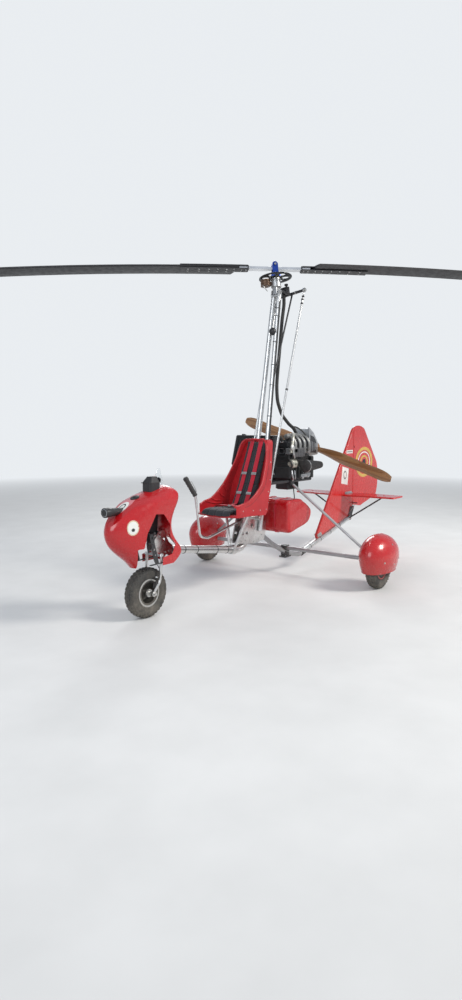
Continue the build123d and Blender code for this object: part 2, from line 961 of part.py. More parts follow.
rod_low = (330, 122, 738)
rod_r = 10
rod_end_r = 6
rod_eye_r = 15
rod_eye_t = 12
arm_t = 8
yoke_arms = [
    plate(
        [
            (yoke_x - 16, yoke_z - 14),
            (yoke_x + 16, yoke_z),
            (rod_low[0] + 16, rod_low[2] + 4),
            (rod_low[0] - 4, rod_low[2] + 14),
            (rod_low[0] - 16, rod_low[2] - 6),
        ],
        low,
        low + arm_t,
        5,
    )
    for low in (rod_low[1] - rod_eye_t / 2 - arm_t, -rod_low[1] + rod_eye_t / 2)
]
with BuildPart() as control_yoke:
    with BuildSketch(Plane.XZ.offset(-rod_low[1] - 6)):
        with Locations((yoke_x, yoke_z)):
            Circle(yoke_r)
    extrude(amount=2 * (rod_low[1] + 6))
    add(yoke_arms)
    for side in (1, -1):
        with BuildSketch(Plane.XZ.offset(-side * rod_low[1] - rod_eye_t / 2)):
            with Locations((rod_low[0], rod_low[2])):
                Circle(5)
        extrude(amount=rod_eye_t)
    add(stick_tube, mode=Mode.SUBTRACT)
control_yoke.part.label = "control_yoke"
export_step(control_yoke.part, "parts/control_yoke.step")


# Rotor head. The spindle leans with the head; the beam hangs level from the teeter bolt.
spindle_dir = Vector(
    -sin(radians(head_pitch)),
    -sin(radians(head_roll)),
    (1 - sin(radians(head_pitch)) ** 2 - sin(radians(head_roll)) ** 2) ** 0.5,
)
gimbal_point = Vector(gimbal_x, 0, gimbal_z)
teeter_point = gimbal_point + spindle_dir * gimbal_to_teeter
span_dir = Vector(cos(radians(rotor_azimuth)), sin(radians(rotor_azimuth)), 0)
teeter_dir = spindle_dir.cross(span_dir).normalized()
neutral_span = teeter_dir.cross(spindle_dir).normalized()
beam_up = span_dir.cross(teeter_dir).normalized()
forward_dir = Vector(1, 0, 0) - spindle_dir * spindle_dir.X
forward_dir = forward_dir.normalized()


def below_teeter(drop):
    """A plane square to the spindle, a distance below the teeter bolt."""
    return Plane(origin=teeter_point - spindle_dir * drop, x_dir=neutral_span, z_dir=spindle_dir)


def head_plane(drop):
    """The same level, with x pointing forward."""
    return Plane(origin=teeter_point - spindle_dir * drop, x_dir=forward_dir, z_dir=spindle_dir)


# Mast head: a cap over both tubes with two ears for the pitch bolt
mast_dir = Vector(mast_top_x - mast_foot_x, 0, mast_top_z - mast_foot_z).normalized()
ear_y = 30
ear_t = 11
ear_outline = [
    (gimbal_x - 24, mast_top_z + 4),
    (gimbal_x + 36, mast_top_z + 4),
    (gimbal_x + 22, gimbal_z + 20),
    (gimbal_x - 20, gimbal_z + 20),
]
mast_ears = [plate(ear_outline, low, low + ear_t, 8) for low in (ear_y, -ear_y - ear_t)]
with BuildPart() as mast_head:
    with BuildSketch(Plane(origin=(mast_top_x, 0, mast_top_z + 1), x_dir=(0, 1, 0), z_dir=mast_dir)):
        SlotOverall(2 * (mast_top_y + mast_r) + 6, 2 * mast_r + 6)
    extrude(amount=14)
    add(mast_ears)
    with BuildSketch(Plane.XZ.offset(-ear_y - ear_t - 6)):
        with Locations((gimbal_x, gimbal_z)):
            Circle(6)
    extrude(amount=2 * (ear_y + ear_t + 6))
    add(mast_tubes, mode=Mode.SUBTRACT)
mast_head.part.label = "mast_head"
export_step(mast_head.part, "parts/mast_head.step")

# Bearing housing on a block that holds the gimbal bolts
block_top = housing_gap + ring_gear_drop + ring_gear_t + housing_h
with BuildPart() as bearing_housing:
    with BuildSketch(head_plane(block_top)):
        Circle(housing_r)
    extrude(amount=housing_h)
    with BuildSketch(head_plane(gimbal_to_teeter + 22)):
        RectangleRounded(64, 2 * (ear_y - 6), 6)
    extrude(amount=gimbal_to_teeter + 22 - block_top)
    with BuildSketch(head_plane(block_top - housing_h)):
        Circle(shaft_r + running_clearance)
    extrude(amount=-(housing_h - 8), mode=Mode.SUBTRACT)
    with BuildSketch(Plane.XZ.offset(-100)):
        with Locations((gimbal_x, gimbal_z)):
            Circle(6)
    extrude(amount=200, mode=Mode.SUBTRACT)
bearing_housing.part.label = "bearing_housing"
export_step(bearing_housing.part, "parts/bearing_housing.step")

# Torque bar: an arm aft from the block and a cross bar with a rod at each end
arm_level = head_plane(block_top + 14)
arm_length = 232
cross_half = 165
cross_r = 13


def on_head(forward, left, drop):
    """A point given by distances in the head's own directions."""
    left_dir = spindle_dir.cross(forward_dir)
    return teeter_point + forward_dir * forward + left_dir * left - spindle_dir * drop


cross_bar = bar(
    [
        tuple(on_head(-arm_length, cross_half, block_top + 14)),
        tuple(on_head(-arm_length, -cross_half, block_top + 14)),
    ],
    cross_r,
)
arm = bar(
    [
        tuple(on_head(-32, 0, block_top + 14)),
        tuple(on_head(-arm_length, 0, block_top + 14)),
    ],
    12,
)
with BuildPart() as torque_bar:
    add(cross_bar)
    add(arm)
    add(bearing_housing.part, mode=Mode.SUBTRACT)
torque_bar.part.label = "torque_bar"
export_step(torque_bar.part, "parts/torque_bar.step")



def control_rod(side):
    """A long tube with thinner ends and an eye on each, for one end of the torque bar."""
    top = on_head(-arm_length, side * (cross_half - 12), block_top + 14)
    low = Vector(rod_low[0], side * rod_low[1], rod_low[2])
    along = (top - low).normalized()
    with BuildPart() as piece:
        add(bar([tuple(low + along * 90), tuple(top - along * 90)], rod_r))
        add(bar([tuple(low), tuple(top)], rod_end_r))
        with BuildSketch(Plane(origin=low - Vector(0, rod_eye_t / 2, 0), z_dir=(0, 1, 0))):
            Circle(rod_eye_r)
        extrude(amount=rod_eye_t)
        with BuildSketch(Plane(origin=top - cross_dir * rod_eye_t / 2, z_dir=cross_dir)):
            Circle(cross_r + 9)
        extrude(amount=rod_eye_t)
        with BuildSketch(Plane(origin=low - Vector(0, rod_eye_t / 2, 0), z_dir=(0, 1, 0))):
            Circle(5 + running_clearance)
        extrude(amount=rod_eye_t, mode=Mode.SUBTRACT)
        with BuildSketch(Plane(origin=top - cross_dir * rod_eye_t, z_dir=cross_dir)):
            Circle(cross_r + running_clearance)
        extrude(amount=2 * rod_eye_t, mode=Mode.SUBTRACT)
    return piece.part


cross_dir = spindle_dir.cross(forward_dir)
with BuildPart() as control_rods:
    add([control_rod(1), control_rod(-1)])
control_rods.part.label = "control_rods"
export_step(control_rods.part, "parts/control_rods.step")

# Trim strut from the torque bar to the back of the mast
with BuildPart() as trim_strut:
    add(
        bar(
            [
                tuple(on_head(-arm_length, 22, block_top + 14)),
                (mast_x(1852) - mast_r, mast_y(1852), 1852),
            ],
            8,
        )
    )
    add(torque_bar.part, mode=Mode.SUBTRACT)
    add(mast_tubes, mode=Mode.SUBTRACT)
trim_strut.part.label = "trim_strut"
export_step(trim_strut.part, "parts/trim_strut.step")

# Pre-rotator: a small gear drive beside the arm, its pinion dropped clear of the ring gear
drive_forward = -ring_gear_r - 22
drive_left = -26
drive_half_l = 46


def drive_plane(left, drop):
    return Plane(origin=on_head(drive_forward, left, drop), x_dir=cross_dir, z_dir=spindle_dir)


with BuildPart() as prerotator_drive:
    with BuildSketch(drive_plane(drive_left + 8, block_top + 20)):
        SlotOverall(2 * drive_half_l, 46)
    extrude(amount=58)
    with BuildSketch(drive_plane(0, block_top - 55)):
        Circle(17)
    extrude(amount=14)
    with BuildSketch(drive_plane(0, block_top - 38)):
        Circle(8)
    extrude(amount=20)
    add(torque_bar.part, mode=Mode.SUBTRACT)
prerotator_drive.part.label = "prerotator_drive"
export_step(prerotator_drive.part, "parts/prerotator_drive.step")

# Ring gear
gear_points = []
for tooth in range(ring_gear_teeth):
    for share, gear_r in ((0.0, -6), (0.22, -6), (0.38, 0), (0.62, 0), (0.78, -6)):
        angle = radians((tooth + share) * 360 / ring_gear_teeth)
        gear_points.append(((ring_gear_r + gear_r) * cos(angle), (ring_gear_r + gear_r) * sin(angle)))
with BuildPart() as ring_gear:
    with BuildSketch(below_teeter(ring_gear_drop + ring_gear_t)):
        with BuildLine():
            Polyline(*gear_points, close=True)
        make_face()
        with PolarLocations(92, 6):
            Circle(32, mode=Mode.SUBTRACT)
        Circle(shaft_r, mode=Mode.SUBTRACT)
    extrude(amount=ring_gear_t)
ring_gear.part.label = "ring_gear"
export_step(ring_gear.part, "parts/ring_gear.step")

# Teeter tower with its spindle shaft
tower_top = 26
tower_base_t = 18
with BuildPart() as teeter_tower:
    with BuildSketch(below_teeter(ring_gear_drop)):
        RectangleRounded(84, 2 * (cheek_gap + cheek_t), 8)
    extrude(amount=tower_base_t)
    for cheek_start in (cheek_gap + cheek_t, -cheek_gap):
        cheek_plane = Plane(
            origin=teeter_point + teeter_dir * cheek_start,
            x_dir=neutral_span,
            z_dir=-teeter_dir,
        )
        with BuildSketch(cheek_plane):
            with Locations((0, -ring_gear_drop / 2)):
                Rectangle(2 * tower_top, ring_gear_drop)
            Circle(tower_top)
        extrude(amount=cheek_t)
    bolt_half = cheek_gap + cheek_t + 8
    with BuildSketch(Plane(origin=teeter_point - teeter_dir * bolt_half, z_dir=teeter_dir)):
        Circle(teeter_bolt_r)
    extrude(amount=2 * bolt_half)
    with BuildSketch(below_teeter(block_top - 12)):
        Circle(shaft_r)
    extrude(amount=block_top - 12 - ring_gear_drop)
teeter_tower.part.label = "teeter_tower"
export_step(teeter_tower.part, "parts/teeter_tower.step")

# Hub bar, hung under the teeter bolt by a bored block
beam_plane = Plane(origin=teeter_point - beam_up * undersling, x_dir=span_dir, z_dir=beam_up)
block_half_w = cheek_gap - 5
with BuildPart() as hub_bar:
    with BuildSketch(beam_plane.offset(-bar_t / 2)):
        Rectangle(2 * bar_half, bar_w)
        with Locations((0, bar_w / 2 + block_half_w), (0, -bar_w / 2 - block_half_w)):
            Rectangle(124, bar_w, mode=Mode.SUBTRACT)
    extrude(amount=bar_t)
    with BuildSketch(beam_plane):
        Rectangle(40, 2 * block_half_w)
    extrude(amount=undersling)
    bolt_plane = Plane(
        origin=teeter_point - teeter_dir * block_half_w, x_dir=span_dir, z_dir=teeter_dir
    )
    with BuildSketch(bolt_plane):
        Circle(20)
    extrude(amount=2 * block_half_w)
    with BuildSketch(bolt_plane):
        Circle(teeter_bolt_r + running_clearance)
    extrude(amount=2 * block_half_w, mode=Mode.SUBTRACT)
hub_bar.part.label = "hub_bar"
export_step(hub_bar.part, "parts/hub_bar.step")

# Rotor blades droop along one long arc from their roots.
droop_axis = Axis(
    tuple(teeter_point - beam_up * (undersling + blade_droop_radius) + span_dir * blade_root),
    tuple(teeter_dir),
)
root_plane = Plane(
    origin=teeter_point - beam_up * undersling + span_dir * blade_root,
    x_dir=teeter_dir,
    z_dir=span_dir,
)
nose_y = 0.25 * blade_chord
tail_y = -0.75 * blade_chord
with BuildPart() as rotor_blade:
    with BuildSketch(root_plane):
        with BuildLine():
            nose_top = (nose_y - 8, 0.42 * blade_t)
            nose_low = (nose_y - 8, -0.34 * blade_t)
            ThreePointArc(nose_low, (nose_y, 0), nose_top)
            ThreePointArc(nose_top, (0, 0.6 * blade_t), (tail_y, 1.5))
            Line((tail_y, 1.5), (tail_y, -1.5))
            ThreePointArc((tail_y, -1.5), (0, -0.4 * blade_t), nose_low)
        make_face()
    revolve(axis=droop_axis, revolution_arc=degrees((rotor_r - blade_root) / blade_droop_radius))
    with BuildSketch(Plane(origin=root_plane.origin, x_dir=span_dir, z_dir=beam_up)):
        with BuildLine():
            Polyline((-5, nose_y), (-5, tail_y - 5), (root_slant, tail_y - 5), close=True)
        make_face()
    extrude(amount=blade_t, both=True, mode=Mode.SUBTRACT)

# Straps: a plate above and a plate below the hub bar and the blade's root
plate_lift = (bar_t + strap_t) / 2
with BuildPart() as blade_strap:
    with BuildSketch(root_plane):
        with Locations((0, plate_lift), (0, -plate_lift)):
            Rectangle(strap_w, strap_t)
    extrude(amount=strap_start - blade_root)
    with BuildSketch(root_plane):
        with Locations((0, plate_lift), (0, -plate_lift)):
            Rectangle(strap_w, strap_t)
    revolve(axis=droop_axis, revolution_arc=degrees((strap_end - blade_root) / blade_droop_radius))
    add(rotor_blade.part, mode=Mode.SUBTRACT)

rotor_mast_axis = Axis(tuple(teeter_point), tuple(beam_up))
for name, turn in (("port", 0), ("starboard", 180)):
    blade = rotor_blade.part.rotate(rotor_mast_axis, turn)
    blade.label = f"rotor_blade_{name}"
    export_step(blade, f"parts/rotor_blade_{name}.step")
straps = [blade_strap.part, blade_strap.part.rotate(rotor_mast_axis, 180)]
with BuildPart() as blade_straps:
    add(straps)
blade_straps.part.label = "blade_straps"
export_step(blade_straps.part, "parts/blade_straps.step")

# Engine on two rails behind the mast
rail_front_x = mast_x(rail_z) + 30
rails = [
    bar([(rail_front_x, side * rail_y, rail_z), (rail_rear_x, side * rail_y, rail_z)], rail_r)
    for side in (1, -1)
]
brace_lugs = [
    plate(
        [(-125, 862), (-65, 862), (-65, 900), (-125, 900)],
        low,
        low + 22,
    )
    for low in (rail_y, -rail_y - 22)
]
with BuildPart() as engine_mount:
    add(rails)
    add(brace_lugs)
    with BuildSketch(Plane.XY.offset(rail_z - 6)):
        with Locations((-40, 0), (-400, 0)):
            Rectangle(40, 2 * rail_y)
    extrude(amount=12)
    add(mast_tubes, mode=Mode.SUBTRACT)
    add(brace_bars, mode=Mode.SUBTRACT)
engine_mount.part.label = "engine_mount"
export_step(engine_mount.part, "parts/engine_mount.step")

with BuildPart() as engine_block:
    with BuildSketch(Plane.XY.offset(rail_z + 6 + 10)):
        with Locations((-250, 0)):
            RectangleRounded(390, 300, 24)
    extrude(amount=200)
    with BuildSketch(Plane.XY.offset(rail_z - 110)):
        with Locations((-180, 0)):
            RectangleRounded(190, 164, 20)
    extrude(amount=130)
    with BuildSketch(Plane.XY.offset(rail_z + 200)):
        with Locations((-240, 0)):
            RectangleRounded(340, 220, 20)
    extrude(amount=190)
    with BuildSketch(Plane.XY.offset(rail_z + 380)):
        with Locations((-240, 0)):
            RectangleRounded(300, 150, 30)
    extrude(amount=66)
    add(engine_mount.part, mode=Mode.SUBTRACT)
engine_block.part.label = "engine_block"
export_step(engine_block.part, "parts/engine_block.step")

# Flexible drive from the engine up to the pre-rotator
drive_start = on_head(drive_forward, drive_left - 8, block_top + 20)
drive_route = [
    tuple(drive_start),
    (-150, -30, 2545),
    (-112, -25, 2400),
    (-62, -12, 2170),
    (-18, -3, 1960),
    (10, 0, 1780),
    (-8, 0, 1640),
    (-80, 0, 1520),
    (-200, 0, 1436),
    (-290, 0, 1392),
    (-338, 0, 1338),
]
drive_radii = [300, 700, 1500, 1500, 500, 200, 200, 200, 60]
with BuildPart() as prerotator_cable:
    add(bar(drive_route, cable_r, drive_radii))
    add(engine_block.part, mode=Mode.SUBTRACT)
    add(prerotator_drive.part, mode=Mode.SUBTRACT)
prerotator_cable.part.label = "prerotator_cable"
export_step(prerotator_cable.part, "parts/prerotator_cable.step")

# Reduction drive at the back of the engine, carrying the propeller shaft
gearbox_rear_x = prop_x + prop_hub_t / 2 + 20
with BuildPart() as gearbox:
    add(
        plate(
            [
                (-446, prop_z - 80),
                (gearbox_rear_x, prop_z - 64),
                (gearbox_rear_x, prop_z + 52),
                (-530, prop_z + 150),
                (-446, prop_z + 200),
            ],
            -78,
            78,
            12,
        )
    )
    with BuildSketch(Plane.YZ.offset(gearbox_rear_x)):
        with Locations((0, prop_z)):
            Circle(18 + running_clearance)
    extrude(amount=60, mode=Mode.SUBTRACT)
    add(engine_block.part, mode=Mode.SUBTRACT)
gearbox.part.label = "gearbox"
export_step(gearbox.part, "parts/gearbox.step")

with BuildPart() as propeller_hub:
    with BuildSketch(Plane.YZ.offset(prop_x + prop_hub_t / 2)):
        with Locations((0, prop_z)):
            Circle(prop_hub_r)
    extrude(amount=12)
    with BuildSketch(Plane.YZ.offset(prop_x + prop_hub_t / 2 + 12)):
        with Locations((0, prop_z)):
            Circle(18)
    extrude(amount=60)
    with BuildSketch(Plane.YZ.offset(prop_x - prop_hub_t / 2)):
        with Locations((0, prop_z)):
            Circle(prop_hub_r)
    extrude(amount=-8)
    with BuildSketch(Plane.YZ.offset(prop_x - prop_hub_t / 2)):
        with Locations((0, prop_z)):
            Circle(spigot_r)
    extrude(amount=prop_hub_t)
propeller_hub.part.label = "propeller_hub"
export_step(propeller_hub.part, "parts/propeller_hub.step")

# Wooden propeller: a hub boss and two lofted, twisted blades
# columns: radius, chord, thickness, blade angle in degrees
prop_stations = [
    (40, 92, 40, 60),
    (200, 112, 30, 34),
    (430, 128, 20, 23),
    (680, 112, 13, 16),
    (860, 84, 8, 13),
    (894, 52, 6, 12),
]
prop_span = Vector(0, cos(radians(prop_angle)), -sin(radians(prop_angle)))
prop_centre = Vector(prop_x, 0, prop_z)
prop_chord = Vector(1, 0, 0).cross(prop_span)
with BuildPart() as prop_blade:
    for radius, chord, thickness, pitch in prop_stations:
        along = prop_chord * cos(radians(pitch)) + Vector(1, 0, 0) * sin(radians(pitch))
        with BuildSketch(Plane(origin=prop_centre + prop_span * radius, x_dir=along, z_dir=prop_span)):
            with BuildLine():
                Line((-chord / 2, -thickness / 3), (chord / 2, -thickness / 3))
                ThreePointArc(
                    (chord / 2, -thickness / 3), (0, thickness * 2 / 3), (-chord / 2, -thickness / 3)
                )
            make_face()
    loft()
with BuildPart() as propeller:
    add(prop_blade.part)
    add(prop_blade.part.rotate(Axis(tuple(prop_centre), (1, 0, 0)), 180))
    with BuildSketch(Plane.YZ.offset(prop_x - prop_hub_t / 2)):
        with Locations((0, prop_z)):
            Circle(prop_hub_r)
    extrude(amount=prop_hub_t)
    with BuildSketch(Plane.YZ.offset(prop_x - prop_hub_t / 2)):
        with Locations((0, prop_z)):
            Circle(spigot_r)
    extrude(amount=prop_hub_t, mode=Mode.SUBTRACT)
    with BuildSketch(Plane.YZ.offset(prop_x - prop_hub_t / 2 - 60)):
        with Locations((0, prop_z)):
            Circle(prop_hub_r + 20)
    extrude(amount=60, mode=Mode.SUBTRACT)
    with BuildSketch(Plane.YZ.offset(prop_x + prop_hub_t / 2)):
        with Locations((0, prop_z)):
            Circle(prop_hub_r + 20)
    extrude(amount=60, mode=Mode.SUBTRACT)
propeller.part.label = "propeller"
export_step(propeller.part, "parts/propeller.step")

with BuildPart() as radiator:
    add(
        plate(
            [
                (172, 1040),
                (222, 1040),
                (137, 1330),
                (87, 1330),
            ],
            -352,
            96,
            10,
        )
    )
    for side in (1, -1):
        lug_y = side * mast_y(1250)
        add(plate([(140, 1240), (232, 1240), (226, 1262), (140, 1262)], lug_y - 8, lug_y + 8))
    add(mast_tubes, mode=Mode.SUBTRACT)
radiator.part.label = "radiator"
export_step(radiator.part, "parts/radiator.step")

with BuildPart() as air_filter:
    with BuildSketch(Plane.YZ.offset(-130)):
        with Locations((236, 1046)):
            Circle(56)
    with BuildSketch(Plane.YZ.offset(-400)):
        with Locations((236, 1046)):
            Circle(30)
    loft()
    with BuildSketch(Plane.XZ.offset(-150)):
        with Locations((-180, 1046)):
            Circle(22)
    extrude(amount=-60)
air_filter.part.label = "air_filter"
export_step(air_filter.part, "parts/air_filter.step")

with BuildPart() as exhaust:
    with BuildSketch(Plane.YZ.offset(-400)):
        with Locations((-230, 1010)):
            Circle(54)
    extrude(amount=330)
    fillet(exhaust.edges(), 18)
    with BuildSketch(Plane.XZ.offset(150)):
        with Locations((-160, 1010), (-320, 1010)):
            Circle(18)
    extrude(amount=60)
exhaust.part.label = "exhaust"
export_step(exhaust.part, "parts/exhaust.step")

# Moulded tank: flat front, rounded rear that sweeps down to the sloping underside
# columns: x, z, rounding radius
tank_corners = [
    (tank_front_x, 450, 45),
    (tank_front_x, 757, 45),
    (10, 757, 110),
    (-172, 635, 45),
    (-118, 526, 55),
]
with BuildPart() as fuel_tank:
    with BuildSketch(Plane.XZ.offset(-tank_half_w)) as tank_side:
        with BuildLine():
            Polyline(*[(x, z) for x, z, _ in tank_corners], close=True)
        make_face()
        for x, z, corner_r in tank_corners:
            fillet(tank_side.vertices().sort_by_distance((x, z, 0))[0], corner_r)
    extrude(amount=2 * tank_half_w)
    fillet(fuel_tank.faces().filter_by(Axis.Y).edges(), 26)
fuel_tank.part.label = "fuel_tank"
export_step(fuel_tank.part, "parts/fuel_tank.step")


# Tail
def boom_top(x):
    """Height of the top of the tail boom."""
    return boom_start[1] + boom_dz / boom_dx * (x - boom_start[0]) - boom_r / boom_dir.X


fin_rear_x = hinge_x + rudder_t / 2 + hinge_gap
with BuildPart() as stabiliser:
    with BuildSketch(Plane.XY.offset(stabiliser_z - 9)) as tail_plan:
        with BuildLine():
            Polyline(
                (-1240, 0),
                (-1280, stabiliser_half),
                (-1530, stabiliser_half),
                (-1545, 170),
                (-1470, 80),
                (-1470, -80),
                (-1545, -170),
                (-1530, -stabiliser_half),
                (-1280, -stabiliser_half),
                close=True,
            )
        make_face()
        fillet(tail_plan.vertices().filter_by(lambda v: abs(v.Y) > stabiliser_half - 1), 30)
    extrude(amount=18)
    fillet(stabiliser.faces().filter_by(Axis.Z).edges(), 7)
stabiliser.part.label = "stabiliser"
export_step(stabiliser.part, "parts/stabiliser.step")

fin_outline = [
    (-738, boom_top(-738) + 2),
    (-724, 290),
    (-1474, 1364),
    (fin_rear_x, 1386),
    (fin_rear_x, 500),
    (-1430, boom_top(-1430) + 2),
]
with BuildPart() as fin:
    add(plate(fin_outline, -fin_t / 2, fin_t / 2))
    fillet(fin.faces().filter_by(Axis.Y).edges(), 9)
    add(stabiliser.part, mode=Mode.SUBTRACT)
    with BuildSketch(Plane.XY.offset(upper_hinge_z - lug_t / 2)):
        with Locations(((fin_rear_x + 12 + hinge_x) / 2, 0)):
            Rectangle(fin_rear_x + 12 - hinge_x, 2 * lug_r)
        with Locations((hinge_x, 0)):
            Circle(lug_r)
            Circle(pintle_r + running_clearance, mode=Mode.SUBTRACT)
    extrude(amount=lug_t)
fin.part.label = "fin"
export_step(fin.part, "parts/fin.step")

strut_bars = [
    bar([(-1428, side * 20, 398), (-1390, side * 440, stabiliser_z)], 8) for side in (1, -1)
]
with BuildPart() as stabiliser_struts:
    add(strut_bars)
    add(stabiliser.part, mode=Mode.SUBTRACT)
    add(tail_boom.part, mode=Mode.SUBTRACT)
    split(bisect_by=Plane.XY.offset(stabiliser_z), keep=Keep.BOTTOM)
stabiliser_struts.part.label = "stabiliser_struts"
export_step(stabiliser_struts.part, "parts/stabiliser_struts.step")

# Rudder on a pin at its foot and a pintle higher up
with BuildPart() as rudder:
    with BuildSketch(Plane.XZ.offset(-rudder_t / 2)):
        with BuildLine():
            Polyline((-1700, 506), (hinge_x, rudder_low_z), (hinge_x, 1394))
            ThreePointArc((hinge_x, 1394), (-1650, 1418), (-1765, 1382))
            Line((-1765, 1382), (-2090, 1000))
            ThreePointArc((-2090, 1000), (-2130, 800), (-2080, 600))
            ThreePointArc((-2080, 600), (-1900, 556), (-1700, 506))
        make_face()
    extrude(amount=rudder_t)
    fillet(rudder.faces().filter_by(Axis.Y).edges().filter_by(lambda e: e.center().X < hinge_x - 1), 8)
    with BuildSketch(Plane.XY.offset(rudder_low_z)):
        with Locations((hinge_x, 0)):
            Circle(rudder_t / 2)
    extrude(amount=1394 - rudder_low_z)
    with BuildSketch(Plane.XY.offset(rudder_low_z - 10)):
        with Locations((hinge_x, 0)):
            Circle(6 + running_clearance)
    extrude(amount=70, mode=Mode.SUBTRACT)
    with BuildSketch(Plane.XY.offset(upper_hinge_z - lug_t / 2 - hinge_gap)):
        with Locations((hinge_x, 0)):
            Circle(lug_r + hinge_gap + 6)
            Circle(pintle_r, mode=Mode.SUBTRACT)
    extrude(amount=lug_t + 2 * hinge_gap, mode=Mode.SUBTRACT)
rudder.part.label = "rudder"
export_step(rudder.part, "parts/rudder.step")

# Cheeks on both sides of the boom's end carry the fin's foot and the rudder's lower pin.
bracket_outline = [
    (-1398, 372),
    (-1458, 372),
    (-1526, rudder_low_z - 26),
    (-1526, rudder_low_z - 12),
    (-1440, rudder_low_z - 12),
    (-1404, 440),
]
bracket_t = 4
with BuildPart() as tail_bracket:
    add(plate(bracket_outline, fin_t / 2, fin_t / 2 + bracket_t))
    add(plate(bracket_outline, -fin_t / 2 - bracket_t, -fin_t / 2))
    with BuildSketch(Plane.XY.offset(rudder_low_z - 26)):
        with Locations(((fin_rear_x - 1530) / 2, 0)):
            Rectangle(fin_rear_x + 1530, fin_t)
    extrude(amount=14)
    with BuildSketch(Plane.XY.offset(rudder_low_z - 12)):
        with Locations((hinge_x, 0)):
            Circle(6)
    extrude(amount=60)
    add(tail_boom.part, mode=Mode.SUBTRACT)
    add(strut_bars, mode=Mode.SUBTRACT)
tail_bracket.part.label = "tail_bracket"
export_step(tail_bracket.part, "parts/tail_bracket.step")
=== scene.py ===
import itertools
import json
import math

import bmesh
import bpy
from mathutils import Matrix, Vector
from mathutils.bvhtree import BVHTree


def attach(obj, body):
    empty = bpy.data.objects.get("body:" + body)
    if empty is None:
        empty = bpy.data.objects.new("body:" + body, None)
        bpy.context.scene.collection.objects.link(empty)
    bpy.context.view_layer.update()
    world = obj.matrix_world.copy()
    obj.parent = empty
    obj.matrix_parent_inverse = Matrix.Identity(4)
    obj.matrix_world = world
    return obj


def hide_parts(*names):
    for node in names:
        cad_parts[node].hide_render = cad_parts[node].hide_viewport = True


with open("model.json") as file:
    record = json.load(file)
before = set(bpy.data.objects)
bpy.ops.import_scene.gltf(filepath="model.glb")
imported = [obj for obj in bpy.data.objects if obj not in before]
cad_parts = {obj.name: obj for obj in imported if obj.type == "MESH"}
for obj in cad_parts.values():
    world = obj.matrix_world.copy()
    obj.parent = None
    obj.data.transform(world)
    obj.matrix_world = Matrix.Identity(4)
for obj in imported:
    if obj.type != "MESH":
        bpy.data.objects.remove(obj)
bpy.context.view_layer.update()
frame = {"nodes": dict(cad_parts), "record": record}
nodes = frame["nodes"]

UP = Vector((0, 0, 1))
FORWARD = Vector((1, 0, 0))
PORT = Vector((0, 1, 0))
SIDES = (1, -1)  # port, then starboard
PIECE_SHARP, CAD_SHARP = 35, 32  # degrees: an edge sharper than this stays crisp


def add(name, data):
    """A new object of some data, in the scene."""
    made = bpy.data.objects.new(name, data)
    bpy.context.scene.collection.objects.link(made)
    return made


# Camera at the photo's place: metres, in the aircraft's own frame
def make_camera():
    camera = add("camera", bpy.data.cameras.new("camera"))
    camera.location = (5.042, 3.421, 1.425)
    look = Vector((-0.7826, -0.6153, -0.0942))
    camera.rotation_mode = "QUATERNION"
    camera.rotation_quaternion = look.to_track_quat("-Z", "Y")
    camera.data.lens = 23.4
    camera.data.sensor_width = 36
    camera.data.shift_y = -0.0135
    camera.data.clip_end = 200
    bpy.context.scene.camera = camera


def make_light(name, place, target, size, power, colour=(1, 1, 1)):
    lamp = bpy.data.lights.new(name, "AREA")
    lamp.shape = "DISK"
    lamp.size = size
    lamp.energy = power
    lamp.color = colour
    made = add(name, lamp)
    made.location = place
    made.rotation_mode = "QUATERNION"
    made.rotation_quaternion = (Vector(target) - Vector(place)).to_track_quat("-Z", "Y")


